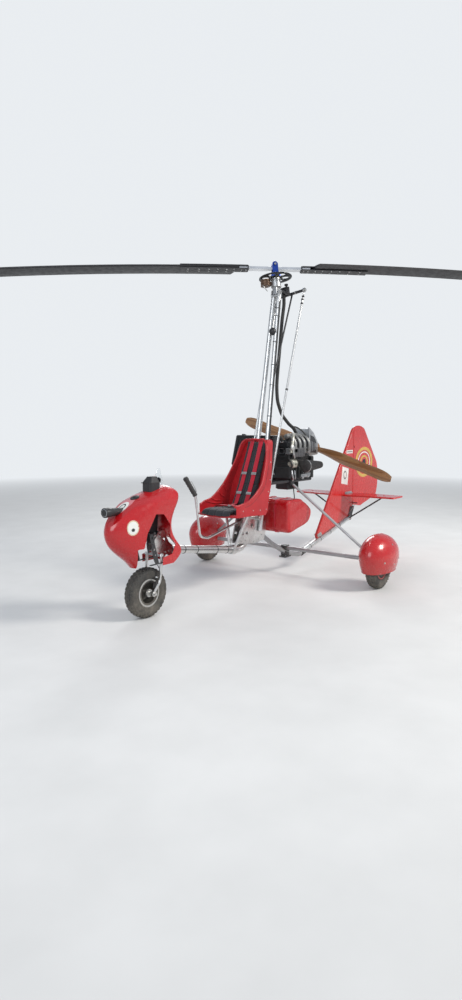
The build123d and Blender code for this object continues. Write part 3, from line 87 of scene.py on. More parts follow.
# A small builder for one material's nodes
class Finish:
    def __init__(self, name):
        self.material = bpy.data.materials.new(name)
        self.material.use_nodes = True
        self.tree = self.material.node_tree
        self.shader = self.tree.nodes["Principled BSDF"]

    def node(self, kind, **settings):
        made = self.tree.nodes.new(kind)
        for key, value in settings.items():
            setattr(made, key, value)
        return made

    def join(self, value, socket):
        if isinstance(value, bpy.types.NodeSocket):
            self.tree.links.new(value, socket)
        else:
            socket.default_value = value

    def place(self, scale=(1, 1, 1), turn=(0, 0, 0)):
        """Coordinates fixed to the piece, in metres, stretched and turned."""
        mapping = self.node("ShaderNodeMapping")
        mapping.inputs["Scale"].default_value = scale
        mapping.inputs["Rotation"].default_value = turn
        self.join(self.node("ShaderNodeTexCoord").outputs["Object"], mapping.inputs["Vector"])
        return mapping.outputs["Vector"]

    def noise(self, scale, detail=4.0, where=None, rough=0.5):
        made = self.node("ShaderNodeTexNoise")
        made.inputs["Scale"].default_value = scale
        made.inputs["Detail"].default_value = detail
        made.inputs["Roughness"].default_value = rough
        self.join(where or self.place(), made.inputs["Vector"])
        return made.outputs["Fac"]

    def cells(self, scale, where=None, feature="F1", output="Distance"):
        made = self.node("ShaderNodeTexVoronoi", feature=feature)
        made.inputs["Scale"].default_value = scale
        self.join(where or self.place(), made.inputs["Vector"])
        return made.outputs[output]

    def wave(self, scale, where=None, direction="X", distortion=0.0, detail=2.0):
        made = self.node("ShaderNodeTexWave", bands_direction=direction)
        made.inputs["Scale"].default_value = scale
        made.inputs["Distortion"].default_value = distortion
        made.inputs["Detail"].default_value = detail
        self.join(where or self.place(), made.inputs["Vector"])
        return made.outputs["Fac"]

    def math(self, operation, a, b=0.0):
        made = self.node("ShaderNodeMath", operation=operation)
        self.join(a, made.inputs[0])
        self.join(b, made.inputs[1])
        return made.outputs[0]

    def spread(self, value, low, high, to_low=0.0, to_high=1.0):
        """Maps low..high of a value to to_low..to_high, clamped."""
        made = self.node("ShaderNodeMapRange")
        self.join(value, made.inputs["Value"])
        for key, number in (
            ("From Min", low),
            ("From Max", high),
            ("To Min", to_low),
            ("To Max", to_high),
        ):
            made.inputs[key].default_value = number
        return made.outputs["Result"]

    def mix(self, amount, a, b, blend="MIX"):
        made = self.node("ShaderNodeMix", data_type="RGBA", blend_type=blend)
        self.join(amount, made.inputs[0])
        for value, index in ((a, 6), (b, 7)):
            if not isinstance(value, bpy.types.NodeSocket) and len(value) == 3:
                value = (*value, 1)
            self.join(value, made.inputs[index])
        return made.outputs[2]

    def height(self):
        """Height above the ground, as a value."""
        split = self.node("ShaderNodeSeparateXYZ")
        self.join(self.place(), split.inputs[0])
        return split.outputs["Z"]

    def bump(self, value, strength, distance=0.001, under=None):
        made = self.node("ShaderNodeBump")
        made.inputs["Strength"].default_value = strength
        made.inputs["Distance"].default_value = distance
        self.join(value, made.inputs["Height"])
        if under:
            self.join(under, made.inputs["Normal"])
        return made.outputs["Normal"]

    def set(self, **sockets):
        names = {
            "colour": "Base Color",
            "rough": "Roughness",
            "metal": "Metallic",
            "normal": "Normal",
            "coat": "Coat Weight",
            "coat_rough": "Coat Roughness",
            "sheen": "Sheen Weight",
            "glass": "Transmission Weight",
            "ior": "IOR",
            "alpha": "Alpha",
        }
        for key, value in sockets.items():
            self.join(value, self.shader.inputs[names[key]])
        return self.material


DUST = (0.33, 0.29, 0.23)


def shade(colour, factor):
    return tuple(channel * factor for channel in colour)


def dusted(finish, colour, amount, top=0.5):
    """Grey-brown dust, thick near the ground and gone at a height."""
    low = finish.spread(finish.height(), 0.0, top, 1.0, 0.0)
    patch = finish.spread(finish.noise(9, 6, rough=0.7), 0.35, 0.75, 0.1, 1.0)
    return finish.mix(
        finish.math("MULTIPLY", finish.math("MULTIPLY", low, patch), amount), colour, DUST
    )


def painted(name, colour, rough=0.35, metal=0.0, coat=0.0, vary=0.16, grain=0.06, dust=0.3):
    """Paint, powder coat or bare metal: uneven tone, fine grain, scuffs and dust low down."""
    finish = Finish(name)
    tone = finish.spread(finish.noise(6, 5), 0.3, 0.7)
    base = finish.mix(tone, shade(colour, 1 - vary), shade(colour, 1 + vary / 2))
    scuff = finish.spread(finish.noise(70, 8, rough=0.75), 0.62, 0.75, 0.0, 0.35)
    base = finish.mix(scuff, base, shade(colour, 1.5))
    fine = finish.noise(420, 3)
    return finish.set(
        colour=dusted(finish, base, dust),
        rough=finish.spread(finish.noise(23, 6), 0.3, 0.75, rough * 0.75, rough * 1.35),
        metal=metal,
        coat=coat,
        normal=finish.bump(fine, grain),
    )


def drawn_tube(name, colour, rough=0.3):
    """Drawn aluminium tube: faint lengthwise draw lines, smudges and small pits."""
    finish = Finish(name)
    smudge = finish.spread(finish.noise(11, 7, rough=0.65), 0.3, 0.72)
    base = finish.mix(smudge, shade(colour, 0.74), colour)
    pits = finish.spread(finish.cells(260), 0.0, 0.16, 1.0, 0.0)
    pits = finish.math("MULTIPLY", pits, finish.spread(finish.noise(30), 0.5, 0.65))
    base = finish.mix(finish.math("MULTIPLY", pits, 0.5), base, (0.16, 0.15, 0.14))
    lines = finish.noise(90, 4, finish.place((9, 9, 0.35), (0, -0.154, 0)))
    return finish.set(
        colour=dusted(finish, base, 0.35),
        metal=1.0,
        rough=finish.spread(lines, 0.3, 0.7, rough * 0.7, rough * 1.4),
        normal=finish.bump(lines, 0.10),
    )


def gelcoat(name, colour, dark=0.82):
    """Glossy moulded shell: deep colour, faint waviness, fine scratches and low dust."""
    finish = Finish(name)
    tone = finish.spread(finish.noise(3.2, 3), 0.3, 0.7)
    base = finish.mix(tone, shade(colour, dark), colour)
    scratch = finish.noise(50, 9, finish.place((1, 1, 14), (0.5, 0.3, 0)), 0.8)
    base = finish.mix(finish.spread(scratch, 0.63, 0.72, 0.0, 0.15), base, shade(colour, 1.2))
    peel = finish.bump(finish.noise(210, 2), 0.03, 0.0006)
    wavy = finish.bump(finish.noise(7, 2), 0.12, 0.004, peel)
    return finish.set(
        colour=dusted(finish, base, 0.22, 0.5),
        rough=finish.spread(finish.noise(31, 5), 0.3, 0.7, 0.18, 0.34),
        coat=0.45,
        coat_rough=0.07,
        normal=wavy,
    )


def vinyl(name, colour):
    """Soft upholstery vinyl: leather grain, pulled creases and polished wear."""
    finish = Finish(name)
    tone = finish.spread(finish.noise(9, 4), 0.3, 0.7)
    base = finish.mix(tone, shade(colour, 0.72), colour)
    grain = finish.cells(900, feature="DISTANCE_TO_EDGE")
    crease = finish.noise(24, 3, finish.place((1, 1.6, 0.5)))
    normal = finish.bump(crease, 0.35, 0.004, finish.bump(grain, 0.25, 0.0004))
    rough = finish.spread(finish.noise(16, 5), 0.3, 0.7, 0.30, 0.52)
    return finish.set(colour=base, rough=rough, normal=normal, sheen=0.08)


def cloth(name, colour, threads=900.0, light=1.9):
    """Plain weave seen as two crossed waves, with fading and lint."""
    finish = Finish(name)
    across = finish.wave(threads, finish.place(), "Y")
    along = finish.wave(threads, finish.place((1, 1, 1), (0, 0.6, 0)), "Z")
    weave = finish.math("MULTIPLY", across, along)
    fade = finish.spread(finish.noise(14, 6, rough=0.7), 0.35, 0.75)
    base = finish.mix(fade, colour, shade(colour, light))
    base = finish.mix(finish.math("MULTIPLY", weave, 0.35), base, shade(colour, light * 1.4))
    return finish.set(
        colour=base, rough=0.88, sheen=0.25, normal=finish.bump(weave, 0.4, 0.0004)
    )


def rubber(name, colour=(0.022, 0.022, 0.022), dust=0.7, rough=0.78):
    finish = Finish(name)
    grime = finish.spread(finish.noise(38, 7, rough=0.7), 0.4, 0.75)
    base = finish.mix(grime, colour, shade(colour, 2.4))
    spots = finish.spread(finish.noise(150, 4), 0.55, 0.72, 0.0, 0.5)
    base = finish.mix(spots, base, shade(DUST, 0.42))
    return finish.set(
        colour=dusted(finish, base, dust, 0.42),
        rough=finish.spread(grime, 0.0, 1.0, rough * 0.85, 0.95),
        normal=finish.bump(finish.noise(330, 4), 0.18),
    )


def laminated_wood(name):
    """Varnished propeller wood: glued layers across the thickness and long grain."""
    finish = Finish(name)
    turn = (0.319, 0, 0)
    layers = finish.wave(24, finish.place((1, 1, 1), turn), "X", 0.3)
    grain = finish.noise(60, 8, finish.place((6, 0.35, 6), turn), 0.6)
    base = finish.mix(finish.spread(layers, 0.35, 0.6), (0.25, 0.115, 0.042), (0.36, 0.185, 0.075))
    base = finish.mix(finish.spread(grain, 0.45, 0.7, 0.0, 0.75), base, (0.14, 0.055, 0.018))
    return finish.set(
        colour=base,
        rough=finish.spread(grain, 0.3, 0.7, 0.28, 0.42),
        coat=0.5,
        coat_rough=0.12,
        normal=finish.bump(grain, 0.08),
    )


def cast_metal(name, colour, rough=0.55, oil=0.5):
    """Sand-cast surface with oily grime in its hollows."""
    finish = Finish(name)
    grime = finish.spread(finish.noise(26, 8, rough=0.75), 0.42, 0.66)
    base = finish.mix(finish.math("MULTIPLY", grime, oil), colour, (0.03, 0.026, 0.022))
    grit = finish.noise(480, 5, rough=0.7)
    return finish.set(
        colour=base,
        metal=0.85,
        rough=finish.spread(grime, 0.0, 1.0, rough, rough * 0.6),
        normal=finish.bump(grit, 0.3),
    )


def clear_sheet(name):
    finish = Finish(name)
    haze = finish.spread(finish.noise(40, 6), 0.4, 0.7, 0.03, 0.16)
    finish.material.surface_render_method = "BLENDED"
    return finish.set(
        colour=(0.88, 0.92, 0.94, 1), rough=haze, glass=0.85, ior=1.3, alpha=0.42
    )


finishes = {
    "tyre_rubber": rubber("tyre_rubber"),
    "wheel_red": painted("wheel_red", (0.55, 0.02, 0.03), 0.4, dust=0.6),
    "wheel_silver": painted("wheel_silver", (0.60, 0.60, 0.58), 0.38, 0.9, dust=0.5),
    "frame_silver": drawn_tube("frame_silver", (0.78, 0.78, 0.77)),
    "axle_grey": painted("axle_grey", (0.40, 0.40, 0.41), 0.42, 0.6),
    "black_metal": painted("black_metal", (0.025, 0.025, 0.028), 0.45),
    "red_shell": gelcoat("red_shell", (0.50, 0.006, 0.010)),
    "red_tail": gelcoat("red_tail", (0.56, 0.010, 0.008), 0.9),
    "black_plastic": painted("black_plastic", (0.02, 0.02, 0.022), 0.5, grain=0.2),
    "clear_screen": clear_sheet("clear_screen"),
    "red_vinyl": vinyl("red_vinyl", (0.48, 0.008, 0.014)),
    "black_quilt": cloth("black_quilt", (0.016, 0.017, 0.02)),
    "red_webbing": cloth("red_webbing", (0.45, 0.012, 0.03), 700, 1.3),
    "blade_black": painted("blade_black", (0.012, 0.012, 0.014), 0.38, vary=0.3, grain=0.03),
    "hub_silver": painted("hub_silver", (0.82, 0.83, 0.85), 0.24, 1.0, dust=0.0),
    "blue_anodised": painted("blue_anodised", (0.035, 0.085, 0.42), 0.3, 0.9, dust=0.0),
    "gear_dark": painted("gear_dark", (0.045, 0.047, 0.05), 0.4, 0.8, dust=0.0),
    "black_rubber": rubber("black_rubber", dust=0.2, rough=0.6),
    "engine_dark": cast_metal("engine_dark", (0.075, 0.078, 0.08)),
    "drive_silver": cast_metal("drive_silver", (0.52, 0.53, 0.54), 0.42, 0.35),
    "exhaust_steel": painted("exhaust_steel", (0.30, 0.24, 0.19), 0.42, 0.95, dust=0.0),
    "prop_wood": laminated_wood("prop_wood"),
}
for entry in frame["record"]["subparts"]:
    data = nodes[entry["node"]].data
    data.materials.clear()
    data.materials.append(finishes[entry["material_slot"]])
    data.polygons.foreach_set("use_smooth", [True] * len(data.polygons))


# Extra finishes that only the scene's own pieces use
WHITE = painted("plain_white", (0.80, 0.80, 0.76), 0.3, dust=0.1)
CREAM = cast_metal("cream_casting", (0.62, 0.60, 0.52), 0.45, 0.25)
BRIGHT = painted("bright_steel", (0.55, 0.55, 0.54), 0.36, 1.0, dust=0.1)
RUNNER = cast_metal("runner_casting", (0.34, 0.34, 0.33), 0.5, 0.5)
GOLD = painted("plain_gold", (0.62, 0.40, 0.08), 0.35, dust=0.1)
# Pale red: a painted sky reflection on the pod's glossy deck
SKY_REFLECTION_RED = painted("painted_sky_reflection", (0.62, 0.20, 0.22), 0.32, dust=0.1)
LENS = painted("lens", (0.35, 0.36, 0.38), 0.12, 0.6, coat=0.8, dust=0.0)
BROWN = painted("brown_casting", (0.14, 0.085, 0.055), 0.45, 0.5, dust=0.0)
# Light grey: a painted highlight on the rotor straps' top faces, where the sky lights them
STRAP_HIGHLIGHT = painted("painted_strap_highlight", (0.30, 0.31, 0.32), 0.36, 0.7, dust=0.0)
GREY_BOX = painted("grey_box", (0.13, 0.13, 0.135), 0.4, 0.5, dust=0.0)
CORE = painted("radiator_core", (0.10, 0.10, 0.105), 0.42, 0.7, dust=0.1)


# Geometry in millimetres: each function gives one part, its points and its faces
def spin(count, first=0.0):
    """Angles evenly round a turn."""
    return [first + 2 * math.pi * k / count for k in range(count)]


def around(turn, x_dir=FORWARD, y_dir=UP):
    return x_dir * math.cos(turn) + y_dir * math.sin(turn)


def both(make):
    """What a function makes for the port side, then for the starboard side."""
    return [make(side) for side in SIDES]


def smooth_path(points, steps):
    """Catmull-Rom points through the given ones."""
    points = [Vector(point) for point in points]
    if steps < 2 or len(points) < 3:
        return points
    ends = [2 * points[0] - points[1], *points, 2 * points[-1] - points[-2]]
    path = []
    for a, b, c, d in zip(ends, ends[1:], ends[2:], ends[3:]):
        for t in (step / steps for step in range(steps)):
            bend = (2 * a - 5 * b + 4 * c - d) * t * t + (3 * b - a - 3 * c + d) * t * t * t
            path.append(0.5 * (2 * b + (c - a) * t + bend))
    return [*path, points[-1]]


def skin(rings, closed=True, caps=True):
    """A surface through rings of points."""
    count = len(rings[0])
    faces = [
        (row + i, row + j, row + j + count, row + i + count)
        for row in range(0, count * (len(rings) - 1), count)
        for i, j in ((i, (i + 1) % count) for i in range(count if closed else count - 1))
    ]
    points = [point for ring in rings for point in ring]
    if caps:
        faces += [range(count - 1, -1, -1), range(len(points) - count, len(points))]
    return points, faces


def lathe(centre, axis, profile, sides=24, caps=True):
    """Rows of the profile: distance along the axis, radius."""
    axis = Vector(axis).normalized()
    x_dir = axis.orthogonal().normalized()
    y_dir = axis.cross(x_dir)
    rings = [
        [Vector(centre) + axis * along + around(t, x_dir, y_dir) * radius for t in spin(sides)]
        for along, radius in profile
    ]
    return skin(rings, caps=caps)


def tube(points, radius, sides=10, steps=6, flat=1.0, hint=UP):
    """A round or flattened tube along a smooth path; a list of radii tapers it."""
    path = smooth_path(points, steps)
    last = len(path) - 1
    first_size, last_size = radius if isinstance(radius, list) else (radius, radius)
    rings = []
    for i, place in enumerate(path):
        ahead = (path[min(i + 1, last)] - path[max(i - 1, 0)]).normalized()
        across = ahead.cross(hint)
        if across.length < 0.05:
            across = ahead.cross(PORT)
        across.normalize()
        up = across.cross(ahead)
        size = first_size + (last_size - first_size) * i / last
        rings.append([place + around(t, across, up * flat) * size for t in spin(sides)])
    return skin(rings)


def box(centre, size, bevel=2.0, x_dir=FORWARD, z_dir=UP):
    """A box with broken edges and corners, its own x and z turned as given."""
    x_dir = Vector(x_dir).normalized()
    y_dir = Vector(z_dir).cross(x_dir).normalized()
    axes = (x_dir, y_dir, x_dir.cross(y_dir))
    bevel = min(bevel, 0.45 * min(size))
    places, points, faces = {}, [], []
    for signs in itertools.product((-1, 1), repeat=3):
        for face in range(3):
            reach = [side / 2 - (0 if k == face else bevel) for k, side in enumerate(size)]
            offset = (axis * sign * far for axis, sign, far in zip(axes, signs, reach))
            places[signs, face] = len(points)
            points.append(sum(offset, Vector(centre)))

    def corner(face, at, *rest):
        signs = dict(rest)
        return places[tuple(signs[k] for k in range(3)), at]

    for face in range(3):
        a, b = [k for k in range(3) if k != face]
        for sign in (-1, 1):
            around_face = ((-1, -1), (1, -1), (1, 1), (-1, 1))
            faces.append([corner(face, face, (face, sign), (a, p), (b, q)) for p, q in around_face])
            for other in (-1, 1):
                edge = ((-1, a), (1, a), (1, b), (-1, b))
                faces.append([corner(face, at, (face, p), (a, sign), (b, other)) for p, at in edge])
    faces += [range(start, start + 3) for start in range(0, 24, 3)]
    return points, faces


def prism(outline, centre, x_dir, y_dir, depth, bevel=1.0):
    """A flat shape extruded both ways along the normal of its plane, edges broken."""
    normal = x_dir.cross(y_dir).normalized()
    middle = sum((Vector(point) for point in outline), Vector((0, 0))) / len(outline)
    rows = []
    for lift, inset in (
        (-depth / 2, bevel), (-depth / 2 + bevel, 0), (depth / 2 - bevel, 0), (depth / 2, bevel)
    ):
        row = []
        for point in outline:
            offset = Vector(point) - middle
            flat = middle + offset * (1 - inset / max(offset.length, 1))
            row.append(Vector(centre) + x_dir * flat.x + y_dir * flat.y + normal * lift)
        rows.append(row)
    return skin(rows)


def bolt(place, axis, size=5.0, stud=0.0):
    """A washer and a hexagon head, with a stud's end if one is asked for."""
    place, axis = Vector(place), Vector(axis).normalized()
    washer, head = size * 0.22, size * 0.75
    parts = [
        lathe(place, axis, [(0, size * 1.25), (washer, size * 1.25)], 16),
        lathe(place + axis * washer, axis, [(0, size), (head * 0.8, size), (head, size * 0.84)], 6),
    ]
    if stud:
        end = [(0, size * 0.5), (stud, size * 0.5), (stud + 1, size * 0.35)]
        parts.append(lathe(place + axis * (washer + head), axis, end, 10))
    return parts


trees = {}


def touch(node, start, direction):
    """Where a ray from a place meets a node's surface, in millimetres, with the normal."""
    if node not in trees:
        data = nodes[node].data
        trees[node] = BVHTree.FromPolygons(
            [vertex.co[:] for vertex in data.vertices],
            [tuple(polygon.vertices) for polygon in data.polygons],
        )
    hit, normal, _, _ = trees[node].ray_cast(Vector(start) / 1000, Vector(direction).normalized())
    if hit is None:
        return None
    return hit * 1000, -normal if normal.dot(Vector(direction)) > 0 else normal


def touches(node, rays):
    """Every ray's meeting point and normal, without the rays that miss."""
    return [found for start, direction in rays if (found := touch(node, start, direction))]


RAY_START = 260  # how far outside a surface a sticker's rays start


def sticker(node, centre, x_dir, y_dir, outline, gap=0.5, hole=0.0, rings=6):
    """A flat shape's outline laid on a node's surface as a thin skin, or nothing if it misses."""
    x_dir, y_dir = Vector(x_dir).normalized(), Vector(y_dir).normalized()
    normal = x_dir.cross(y_dir).normalized()
    rows = []
    for step in range(rings + 1):
        scale = max(hole + (1 - hole) * step / rings, 0.02)
        starts = [
            Vector(centre) + (x_dir * x + y_dir * y) * scale + normal * RAY_START
            for x, y in outline
        ]
        row = touches(node, [(start, -normal) for start in starts])
        if len(row) < len(outline):
            return []
        rows.append([place + out * gap for place, out in row])
    return skin(rows, caps=False)


def oval(half_x, half_y, count=36):
    return [(half_x * math.cos(t), half_y * math.sin(t)) for t in spin(count)]


def fine_outline(points, step=12.0):
    """The same outline with points added so that no side is longer than a step."""
    made = []
    for a, b in zip(points, [*points[1:], points[0]]):
        a, b = Vector(a), Vector(b)
        count = max(1, math.ceil((b - a).length / step))
        made += [tuple(a.lerp(b, i / count)) for i in range(count)]
    return made


def all_parts(parts):
    for part in parts:
        if isinstance(part, list):
            yield from all_parts(part)
        else:
            yield part


def piece(name, finish, *parts, body="airframe", slot=None, angle=PIECE_SHARP, replaces=()):
    """One piece of parts and lists of parts; its finish is a record's slot or a material."""
    mesh = bmesh.new()
    for points, faces in all_parts(parts):
        corners = [mesh.verts.new(point) for point in points]
        for face in faces:
            mesh.faces.new([corners[i] for i in face])
    bmesh.ops.recalc_face_normals(mesh, faces=mesh.faces)
    bmesh.ops.scale(mesh, vec=(0.001, 0.001, 0.001), verts=mesh.verts)
    data = bpy.data.meshes.new(name)
    mesh.to_mesh(data)
    mesh.free()
    made = add(name, data)
    if isinstance(finish, str):
        slot = slot or finish
        finish = finishes[finish]
    data.materials.append(finish)
    data.polygons.foreach_set("use_smooth", [True] * len(data.polygons))
    if angle:
        data.set_sharp_from_angle(angle=math.radians(angle))
    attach(made, body)
    if replaces:
        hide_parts(*replaces)


# Wheels
WHEEL_Z, NOSE_X, AXLE_X, TRACK_Y = 188.5, 1713, -156, 976
TREAD_HALF = [
    (31, 101), (39, 108), (44.5, 124), (46.5, 146), (43, 164), (35, 175.5), (20, 181.5), (0, 183)
]
TREAD_ROWS = 34
TREAD_BLOCKS = (  # across, radius, shift round in rows, length, width, tilt
    (-11, 183.6, 0.0, 17, 14, 0.0),
    (11, 183.6, 0.5, 17, 14, 0.0),
    (29, 179.6, 0.12, 18, 13, 0.35),
    (-29, 179.6, 0.62, 18, 13, -0.35),
    (39.5, 169.5, 0.5, 13, 9, 0.95),
    (-39.5, 169.5, 0.0, 13, 9, -0.95),
)


def wheel(name, x, y, body, slot):
    centre = Vector((x, y, WHEEL_Z))
    profile = [(-across, radius) for across, radius in TREAD_HALF] + TREAD_HALF[-2::-1]
    blocks = []
    for count in range(TREAD_ROWS):
        for across, radius, shift, length, width, tilt in TREAD_BLOCKS:
            turn = (count + shift) * 2 * math.pi / TREAD_ROWS
            up = (around(turn) * math.cos(tilt) + PORT * math.sin(tilt)).normalized()
            place = centre + around(turn) * radius + PORT * across
            size = (length, width, 8.5)
            blocks.append(box(place, size, 1.2, around(turn + math.pi / 2), up))
    piece(
        f"{name}_tread", "tyre_rubber", lathe(centre, PORT, profile, 72), blocks,
        body=body, replaces=[f"{name}_tyre"],
    )
    valve = centre + Vector((-0.5, 0, 0.866)) * 94 + PORT * 14
    piece(
        f"{name}_fittings", BRIGHT,
        both(lambda side: [
            bolt(centre + around(turn) * 22 + PORT * side * 37, PORT * side, 3.6)
            for turn in spin(6, 0.3)
        ]),
        tube([valve, valve + Vector((10, 4, -17)), valve + Vector((12, 12, -22))], 3, 8),
        body=body, slot=slot,
    )
    ribs = []
    for radius, across in ((118, 43.2), (152, 46.3)):
        rows = [(across - 1, radius - 2), (across + 1, radius), (across - 1, radius + 2)]
        ribs.append(both(lambda side: lathe(centre, PORT * side, rows, 72, caps=False)))
    piece(f"{name}_sidewall_ribs", "tyre_rubber", ribs, body=body)


wheel("nose", NOSE_X, 0, "nose_wheel", "wheel_silver")
wheel("main_left", AXLE_X, TRACK_Y, "main_wheel_left", "wheel_red")
wheel("main_right", AXLE_X, -TRACK_Y, "main_wheel_right", "wheel_red")

# Fork fittings, brake caliper and its hose
RAKE = Vector((-math.sin(math.radians(17)), 0, math.cos(math.radians(17))))
ACROSS_RAKE = RAKE.cross(PORT)
LEG_CLAMP = [(0, 11), (1, 12.4), (9, 12.4), (10, 11)]
piece(
    "fork_clamps", BRIGHT,
    both(lambda side: [
        lathe((NOSE_X, side * 62.5, WHEEL_Z), PORT * side, [(-1, 15), (0.6, 16), (1.4, 14)], 20),
        lathe(Vector((NOSE_X, side * 76, WHEEL_Z)) + RAKE * 120, RAKE, LEG_CLAMP, 20),
    ]),
    body="nose_fork", slot="frame_silver",
)
piece(
    "brake_caliper", "black_metal",
    box((1668, 66, 248), (34, 26, 46), 5, ACROSS_RAKE, RAKE),
    box((1682, 58, 244), (20, 12, 38), 4, ACROSS_RAKE, RAKE),
    [bolt((1668, 79, z), PORT, 4) for z in (258, 238)],
    body="nose_fork",
)
hose = [(1664, 72, 270), (1656, 84, 300), (1650, 84, 330), (1640, 70, 362), (1628, 40, 384)]
piece("brake_hose", "black_rubber", tube(hose, 3.2, 8), body="nose_fork")

# Nose pod: plain discs, a painted sky reflection on the deck, screws
for side, label in ((1, "left"), (-1, "right")):
    place = Vector((1941, side * 117, 709))
    back = Vector((0.95, -0.31 * side, 0)) * -side
    for name, finish, drop, outline, *lay in (
        ("disc", WHITE, 0, oval(46, 54)),
        ("disc_ring", GOLD, 0, oval(43.5, 51.5), 0.9, 0.93, 1),
        ("disc_dot", "black_plastic", 14, oval(13, 12), 0.9),
    ):
        skin_part = sticker("nose_pod", place - UP * drop, back, UP, outline, *lay)
        piece(f"side_{name}_{label}", finish, skin_part, angle=0)
# The pale red patch on top of the pod is a painted sky reflection on its glossy deck
reflection_outline = [
    (120, -40), (120, 8), (92, 42), (10, 52), (-70, 26), (-142, 0), (-142, -48), (-10, -58)
]
for name, finish, x, y, outline, *lay in (
    ("deck_panel", SKY_REFLECTION_RED, 1870, -8, fine_outline(reflection_outline), 0.5, 0, 9),
    ("deck_round", WHITE, 1925, -10, oval(52, 44), 1.0),
    ("deck_round_ring", "black_plastic", 1925, -10, oval(30, 24), 1.5, 0.7, 1),
):
    piece(name, finish, sticker("nose_pod", (x, y, 1000), FORWARD, PORT, outline, *lay), angle=0)
spot, out = touch("nose_pod", (1814, 2, 1000), -UP)
piece(
    "deck_cap", "black_plastic",
    lathe(spot, out, [(-2, 34), (4, 34), (6, 31), (6.5, 12)], 32),
    box(spot + out * 8, (34, 7, 6), 2, FORWARD, out),
)
screw_places = (
    (1602, 826), (1900, 720), (1780, 840), (1640, 845), (1990, 640), (1660, 430), (1470, 500)
)
screw_rays = [((x, side * 400, z), -PORT * side) for x, z in screw_places for side in SIDES]
piece(
    "pod_screws", "red_shell",
    [lathe(*found, [(-1, 5), (1, 5), (2, 3)], 14) for found in touches("nose_pod", screw_rays)],
)

# Pedals on the pod's cross bar; their cables to the rudder, one on each side of the keel, come with
# the keel hardware
piece(
    "foot_pedals", "black_metal",
    both(lambda side: [
        tube([(1754, side * 70, 640), (1762, side * 70, 560), (1748, side * 70, 500)], 6, 10),
        box((1742, side * 70, 600), (9, 54, 58), 3),
        [box((1736.5, side * 70, 578 + row * 11), (3, 50, 4), 1) for row in range(5)],
    ]),
)

# Lamp: rim and lens
LAMP = (2096, 0, 822)
lamp_rim = [(-8, 33.6), (-4, 34.8), (3, 34.4), (6, 31), (2, 29)]
piece("lamp_rim", "black_plastic", lathe(LAMP, FORWARD, lamp_rim, 40))
lamp_lens = [(0, 29.5), (4, 28), (7.5, 18), (9, 3)]
piece("lamp_lens", LENS, lathe(LAMP, FORWARD, lamp_lens, 40), slot="black_plastic")

# Instruments on the pilot's side of the hump
rims, faces = [], []
for y, z, radius in ((-21, 1018, 17), (21, 1018, 17), (0, 978, 15)):
    rim = [(0, radius + 3), (5, radius + 3), (6, radius), (2, radius)]
    rims.append(lathe((1589.5, y, z), -FORWARD, rim, 28))
    face = [(0, radius), (1.6, radius), (1.9, radius * 0.6)]
    faces.append(lathe((1589.2, y, z), -FORWARD, face, 28))
    for count in range(10):
        spoke = around(math.radians(225 - count * 30), -PORT, UP)
        place = Vector((1587, y, z)) + spoke * radius * 0.8
        faces.append(box(place, (0.8, 1.0, 3.4), 0.2, FORWARD, spoke))
piece("gauge_rims", "black_plastic", rims)
piece("gauge_faces", WHITE, faces, slot="black_plastic")
piece(
    "hump_seam", "black_rubber",
    tube([(1703, 47, 1000), (1703, -47, 1000)], 1.4, 8, 1),
    both(lambda side: tube([(1590, side * 46.6, 1003), (1700, side * 46.6, 1003)], 1.6, 8, 1)),
)


# Seat: rolled vinyl edge, pads, webbing
def seat_half(z):
    return 215 if z < 900 else 215 - 75 * (z - 900) / 396


edge = [
    (880, 752), (800, 770), (720, 786), (660, 815), (610, 848), (530, 915), (468, 1005),
    (408, 1120), (372, 1237),
]
line = [(x, seat_half(z) - (8 if x < 850 else 30), z) for x, z in edge]
line += [(354, 118, 1278), (346, 96, 1293), (345, 50, 1296), (345, 0, 1297)]
line += [(x, -y, z) for x, y, z in reversed(line[:-1])]
lip = [(893, y, 664 if abs(y) < 150 else 676) for y in (-190, -150, -75, 0, 75, 150, 190)]
piece("seat_edge_roll", "red_vinyl", tube(line, 8.5, 10, 5), tube(lip, 7, 10, 4), angle=0)
folds = []
for x_low, z_low, x_high, z_high, radius in (
    (560, 735, 800, 772, 9),
    (600, 762, 720, 792, 7),
    (540, 790, 610, 836, 8),
    (500, 840, 545, 890, 7),
):
    middle = ((x_low + x_high) / 2, -197, (z_low + z_high) / 2 - 9)
    path = [(x_low, -198, z_low), middle, (x_high, -198, z_high)]
    folds.append(tube(path, [radius, radius * 0.5], 10, 8, 0.7, PORT))
piece("wing_cover_folds", "red_vinyl", folds, angle=0)
piece(
    "seat_seam", "black_rubber",
    both(lambda side: tube(
        [(x - 26, side * (seat_half(z - 26) + 0.6), z - 26) for x, z in edge[1:]], 1.0, 6, 4
    )),
    angle=0,
)
stud_places = ((470, 700), (560, 700), (660, 708), (800, 716), (440, 850), (400, 950), (350, 1100))
piece(
    "seat_studs", BRIGHT,
    both(lambda side: [
        lathe((x, side * (seat_half(z) - 1), z), PORT * side, [(0, 6), (1.5, 6), (3, 3)], 12)
        for x, z in stud_places
    ]),
    slot="frame_silver",
)


CLOTH_FRAMES = 20
VOXEL, SHRINK, SEAM_DEPTH = 0.006, 0.005, 0.0045  # metres
SEAM_WIDTH = 5.5  # millimetres


def push_out(data, amount):
    """Moves each point along its normal. The normals are read first: a moved point spoils them."""
    normals = [vertex.normal.copy() for vertex in data.vertices]
    for vertex, normal in zip(data.vertices, normals):
        vertex.co += normal * amount(vertex.co)


def work_out(made, kind, **settings):
    """Puts one modifier on a piece and keeps its result as the mesh."""
    modifier = made.modifiers.new(kind.lower(), kind)
    for key, value in settings.items():
        setattr(modifier, key, value)
    depsgraph = bpy.context.evaluated_depsgraph_get()
    made.data = bpy.data.meshes.new_from_object(made.evaluated_get(depsgraph))
    made.modifiers.clear()


